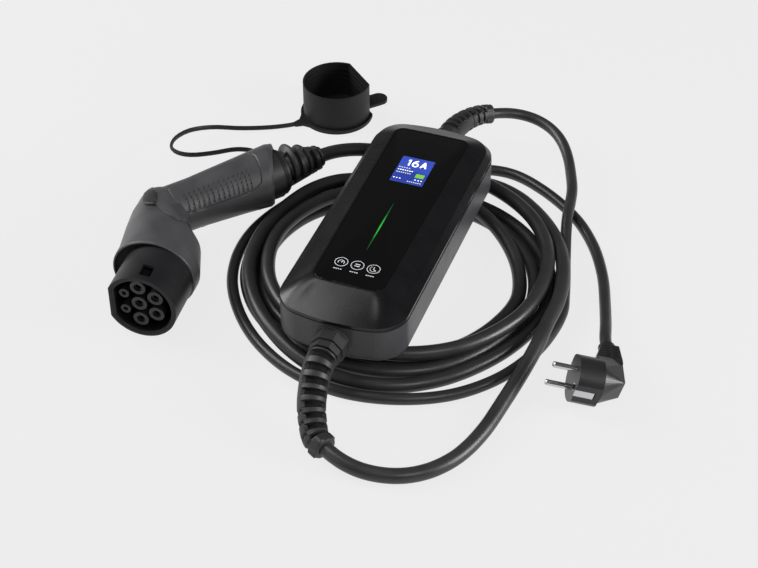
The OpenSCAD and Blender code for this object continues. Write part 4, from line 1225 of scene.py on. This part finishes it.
    def _handle(self) -> Patch:
        """Run the handle to its rounded end, with an outlined pad and rows of short grooves in the pad.

        Inside a rounded outline the surface stands half a millimetre higher, along the outline it drops, and
        on the pad's inner half a row of notches crosses it every few millimetres.

        Returns:
            The closed handle.
        """
        angle = round_angles(220)[None, :]
        along = np.linspace(self.handle_t[0], self.handle_t[-1], 400)[:, None]
        turn = np.angle(np.exp(1j * (angle - math.radians(self.pad_mid[1]))))
        spread = (np.abs((along - self.pad_mid[0]) / self.pad_half[0]) ** 5
                  + np.abs(turn / math.radians(self.pad_half[1])) ** 5) ** 0.2
        pad = fade(0.97 - spread, 0.03)
        outline = np.clip(1 - np.abs(spread - 1.0) / 0.022, 0, 1)
        row = (along + 5.0 * (turn + 0.3) ** 2 - self.groove_first) / self.groove_pitch
        groove = fade(0.17 - np.abs(row - np.round(row)), 0.06)
        dots = 0.45 + 0.55 * np.clip(np.cos((turn + self.groove_turn) * 40.0) * 2 + 0.6, 0, 1)
        grooved = (np.round(row) >= 0) & (np.round(row) < self.grooves)
        grooved = grooved & (np.abs(turn + self.groove_turn) < self.groove_turn)
        lift = self.pad_rise * pad - self.outline_depth * outline
        lift = lift - self.groove_depth * groove * dots * grooved * pad
        points = self.handle(along, angle, lift)
        close = [self.handle(np.full_like(angle, self.handle_t[-1] + step), angle, np.full_like(angle, -drop))
                 for step, drop in ((0.35, 0.7), (0.6, 2.0), (0.6, 6.0))]
        return Patch(self.place(np.vstack([points, *close])), GRIP)

    def _neck(self) -> Patch:
        """Dark neck between the slanting end of the handle and the boot's collar.

        Returns:
            The closed neck.
        """
        angle = round_angles(72)[None, :]
        along = np.array([82.0, 82.0, 106.6, 107.4, 107.4])[:, None]
        radius = np.array([15.0, 21.6, 21.6, 20.8, 17.0])[:, None]
        ring = self.from_elbow(along, radius * np.cos(angle), radius * np.sin(angle))
        return Patch(self.place(ring), COLLAR)

    def _heads(self) -> list[Patch]:
        """Four screw heads on the underside of the handle, each square to the handle's surface.

        Returns:
            The closed heads.
        """
        turn = round_angles(24)[None, :, None]
        lean, heads = math.radians(self.lean), []
        ahead = np.array([math.sin(lean), math.cos(lean), 0.0])
        side = np.array([math.cos(lean), -math.sin(lean), 0.0])
        reach = np.array([2.4, 2.4, 2.1, 0.9, 0.9])[:, None, None]
        level = np.array([-3.0, 0.0, 0.25, 0.25, -0.6])[:, None, None]
        for along, share in ((30.0, 0.6), (30.0, -0.6), (84.0, 0.6), (84.0, -0.6)):
            outward = share * side - math.sqrt(1 - share ** 2) * UP
            radius = np.interp(along, self.handle_t, self.handle_r)
            middle = np.array([*self.elbow, 0.0]) + along * ahead + radius * outward
            ring = reach * (np.cos(turn) * ahead + np.sin(turn) * np.cross(ahead, outward)) + level * outward
            heads.append(Patch(self.place(middle + ring), STEEL))
        return heads

    def _lip(self) -> Patch:
        """Step inside the mouth of the nose: a ring that follows the nose's round outline with one flat side.

        Returns:
            The closed ring.
        """
        angle = round_angles(144)
        rows = []
        for inset, back in ((2.4, 0.3), (3.9, 0.5), (4.3, 1.0), (4.3, 3.5), (2.4, 3.5)):
            flat = (self.nose_flat - inset) / np.maximum(-np.cos(angle), 1e-3)
            reach = np.minimum(self.nose_r - inset, flat)
            rows.append(np.stack([reach * np.cos(angle), np.full_like(angle, back),
                                  reach * np.sin(angle)], 1))
        return Patch(self.place(np.stack(rows)), NOSE, ring=True)

    def _block(self) -> Patch:
        """Raise a smooth block on top of the elbow's outer side, over the parting line.

        Rings of a squared ellipse shrink towards its middle, and its height falls off steeply at its rim.
        Towards the back the block turns outward and widens.

        Returns:
            The closed block.
        """
        ring = round_angles(64)[None, :]
        reach = np.array([1.04, 1.0, 0.97, 0.93, 0.86, 0.7, 0.45, 0.15])[:, None]
        height = np.array([-3.0, 1.2, 2.1, 2.5, 2.7, 2.8, 2.85, 2.9])[:, None]
        cosine, sine = np.cos(ring), np.sin(ring)
        back = 104.5 + 13.0 * reach * np.sign(sine) * np.abs(sine) ** 0.5
        share = (back - 90.0) / 28.0
        across = (12.0 + 4.0 * share) * reach * np.sign(cosine) * np.abs(cosine) ** 0.5
        angle = np.radians(102.0 + 12.5 * share + across)
        return Patch(self.place(self.cone(back, angle, height + 0 * back)), COLLAR)


@dataclass
class PlugSlits:
    """Short slits in two columns on both broad sides of the plug's cord sleeve, each a thin near-black plate
    of painted shade.

    The plug's own frame has its origin in the middle of the face, x along the pins and z from pin to pin.
    The sleeve's broad sides come closer to each other by one part in the taper towards the cord.
    """

    at: tuple[float, float, float] = (179.6, -91.6, 24.0)
    yaw: float = 199.4
    pitch: float = 15.0
    columns: tuple[float, ...] = (-34.4, -27.6)
    first: float = -23.6
    step: float = 3.0
    count: int = 5
    half: tuple[float, float] = (2.3, 0.7)
    root: tuple[float, float] = (-21.0, 9.0)
    taper: float = 17.0

    def place(self, local: Array) -> Array:
        """Turn points of the plug's frame into the box frame.

        Args:
            local: Points in the plug's frame.

        Returns:
            Points in the box frame.
        """
        pitch, yaw = math.radians(self.pitch), math.radians(self.yaw)
        x, y, z = np.moveaxis(local, -1, 0)
        out, up = x * math.cos(pitch) - z * math.sin(pitch), x * math.sin(pitch) + z * math.cos(pitch)
        turned = [out * math.cos(yaw) - y * math.sin(yaw), out * math.sin(yaw) + y * math.cos(yaw), up]
        return np.stack(turned, -1) + np.array(self.at)

    def build(self) -> bpy.types.Object:
        """Make the slits as one piece.

        Returns:
            The piece, which goes with the plug.
        """
        turn = round_angles(24)
        width = self.half[0] * np.sign(np.cos(turn)) * np.abs(np.cos(turn)) ** 0.4
        slits = []
        for side, x, row in product((1.0, -1.0), self.columns, range(self.count)):
            along = self.first - self.step * row + self.half[1] * np.sin(turn)
            top = self.root[1] - (self.root[0] - along) / self.taper
            # painted shade: each slit is a thin near-black plate standing just proud of the sleeve
            rows = [np.stack([x + width, along, side * (top + level)], 1) for level in (-0.6, 0.04)]
            slits.append(Patch(self.place(np.stack(rows)), SHADE))
        return make_piece("plug_slits", slits)


def bend_boots() -> list[BendBoot]:
    """List the three bend protectors, each with its route from the part that it grows out of.

    Returns:
        The bend protectors, not yet built.
    """
    return [
        BendBoot("vehicle_boot_skin", "vehicle_boot",
                 ((0, -151, 39.9), (0, -159, 38.9), (0.6, -168, 35.4), (2, -177, 30), (4.5, -186.6, 24.4),
                  (9, -196.4, 18.4), (17.4, -208.9, 12.4), (26, -213.9, 11.2)),
                 rib_r=(11.9, 10.2), core_r=(8.6, 7.2), ribs=7, plain=5.0, collar=9.0, collar_r=9.4,
                 square=1.16),
        BendBoot("supply_boot_skin", "supply_boot",
                 ((0, 151, 39.9), (0, 159, 39.7), (1.5, 170, 39.2), (4.5, 180, 38.6), (9, 189.5, 37.8),
                  (15.66, 199.24, 36.26), (22.5, 205, 35)),
                 rib_r=(11.2, 8.4), core_r=(8.2, 6.2), ribs=6, plain=5.0, collar=9.0, collar_r=8.4,
                 square=1.12),
        BendBoot("connector_boot_skin", "connector_boot",
                 ((-123.45, 63.88, 33), (-117.0, 72.2, 33), (-110.8, 80.3, 33), (-104.8, 88.0, 33),
                  (-98.99, 95.52, 33)),
                 rib_r=(16.6, 10.2), core_r=(13.0, 8.0), ribs=4, plain=4.0, collar=3.0, collar_r=8.8,
                 square=1.04, slot_at=150.0, swells=((10.0, 6.0, 4.2), (21.0, 3.6, 4.0))),
    ]


def dress_nodes() -> None:
    """Give every CAD node that still shows its own finish."""
    for name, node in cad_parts.items():
        made = NODE_FINISH[name].material()
        if not node.material_slots:
            node.data.materials.append(made)
        for place in node.material_slots:
            place.material = made


def main() -> None:
    """Build the studio and each sub-assembly in order."""
    logging.basicConfig(level=logging.INFO, format="%(name)s %(message)s")
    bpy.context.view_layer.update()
    Studio().build()
    CableSet().build([PlugSlits().build()])
    ControlBox().build()
    for boot in bend_boots():
        boot.build()
    VehicleConnector().build()
    dress_nodes()


if __name__ == "__main__":
    main()
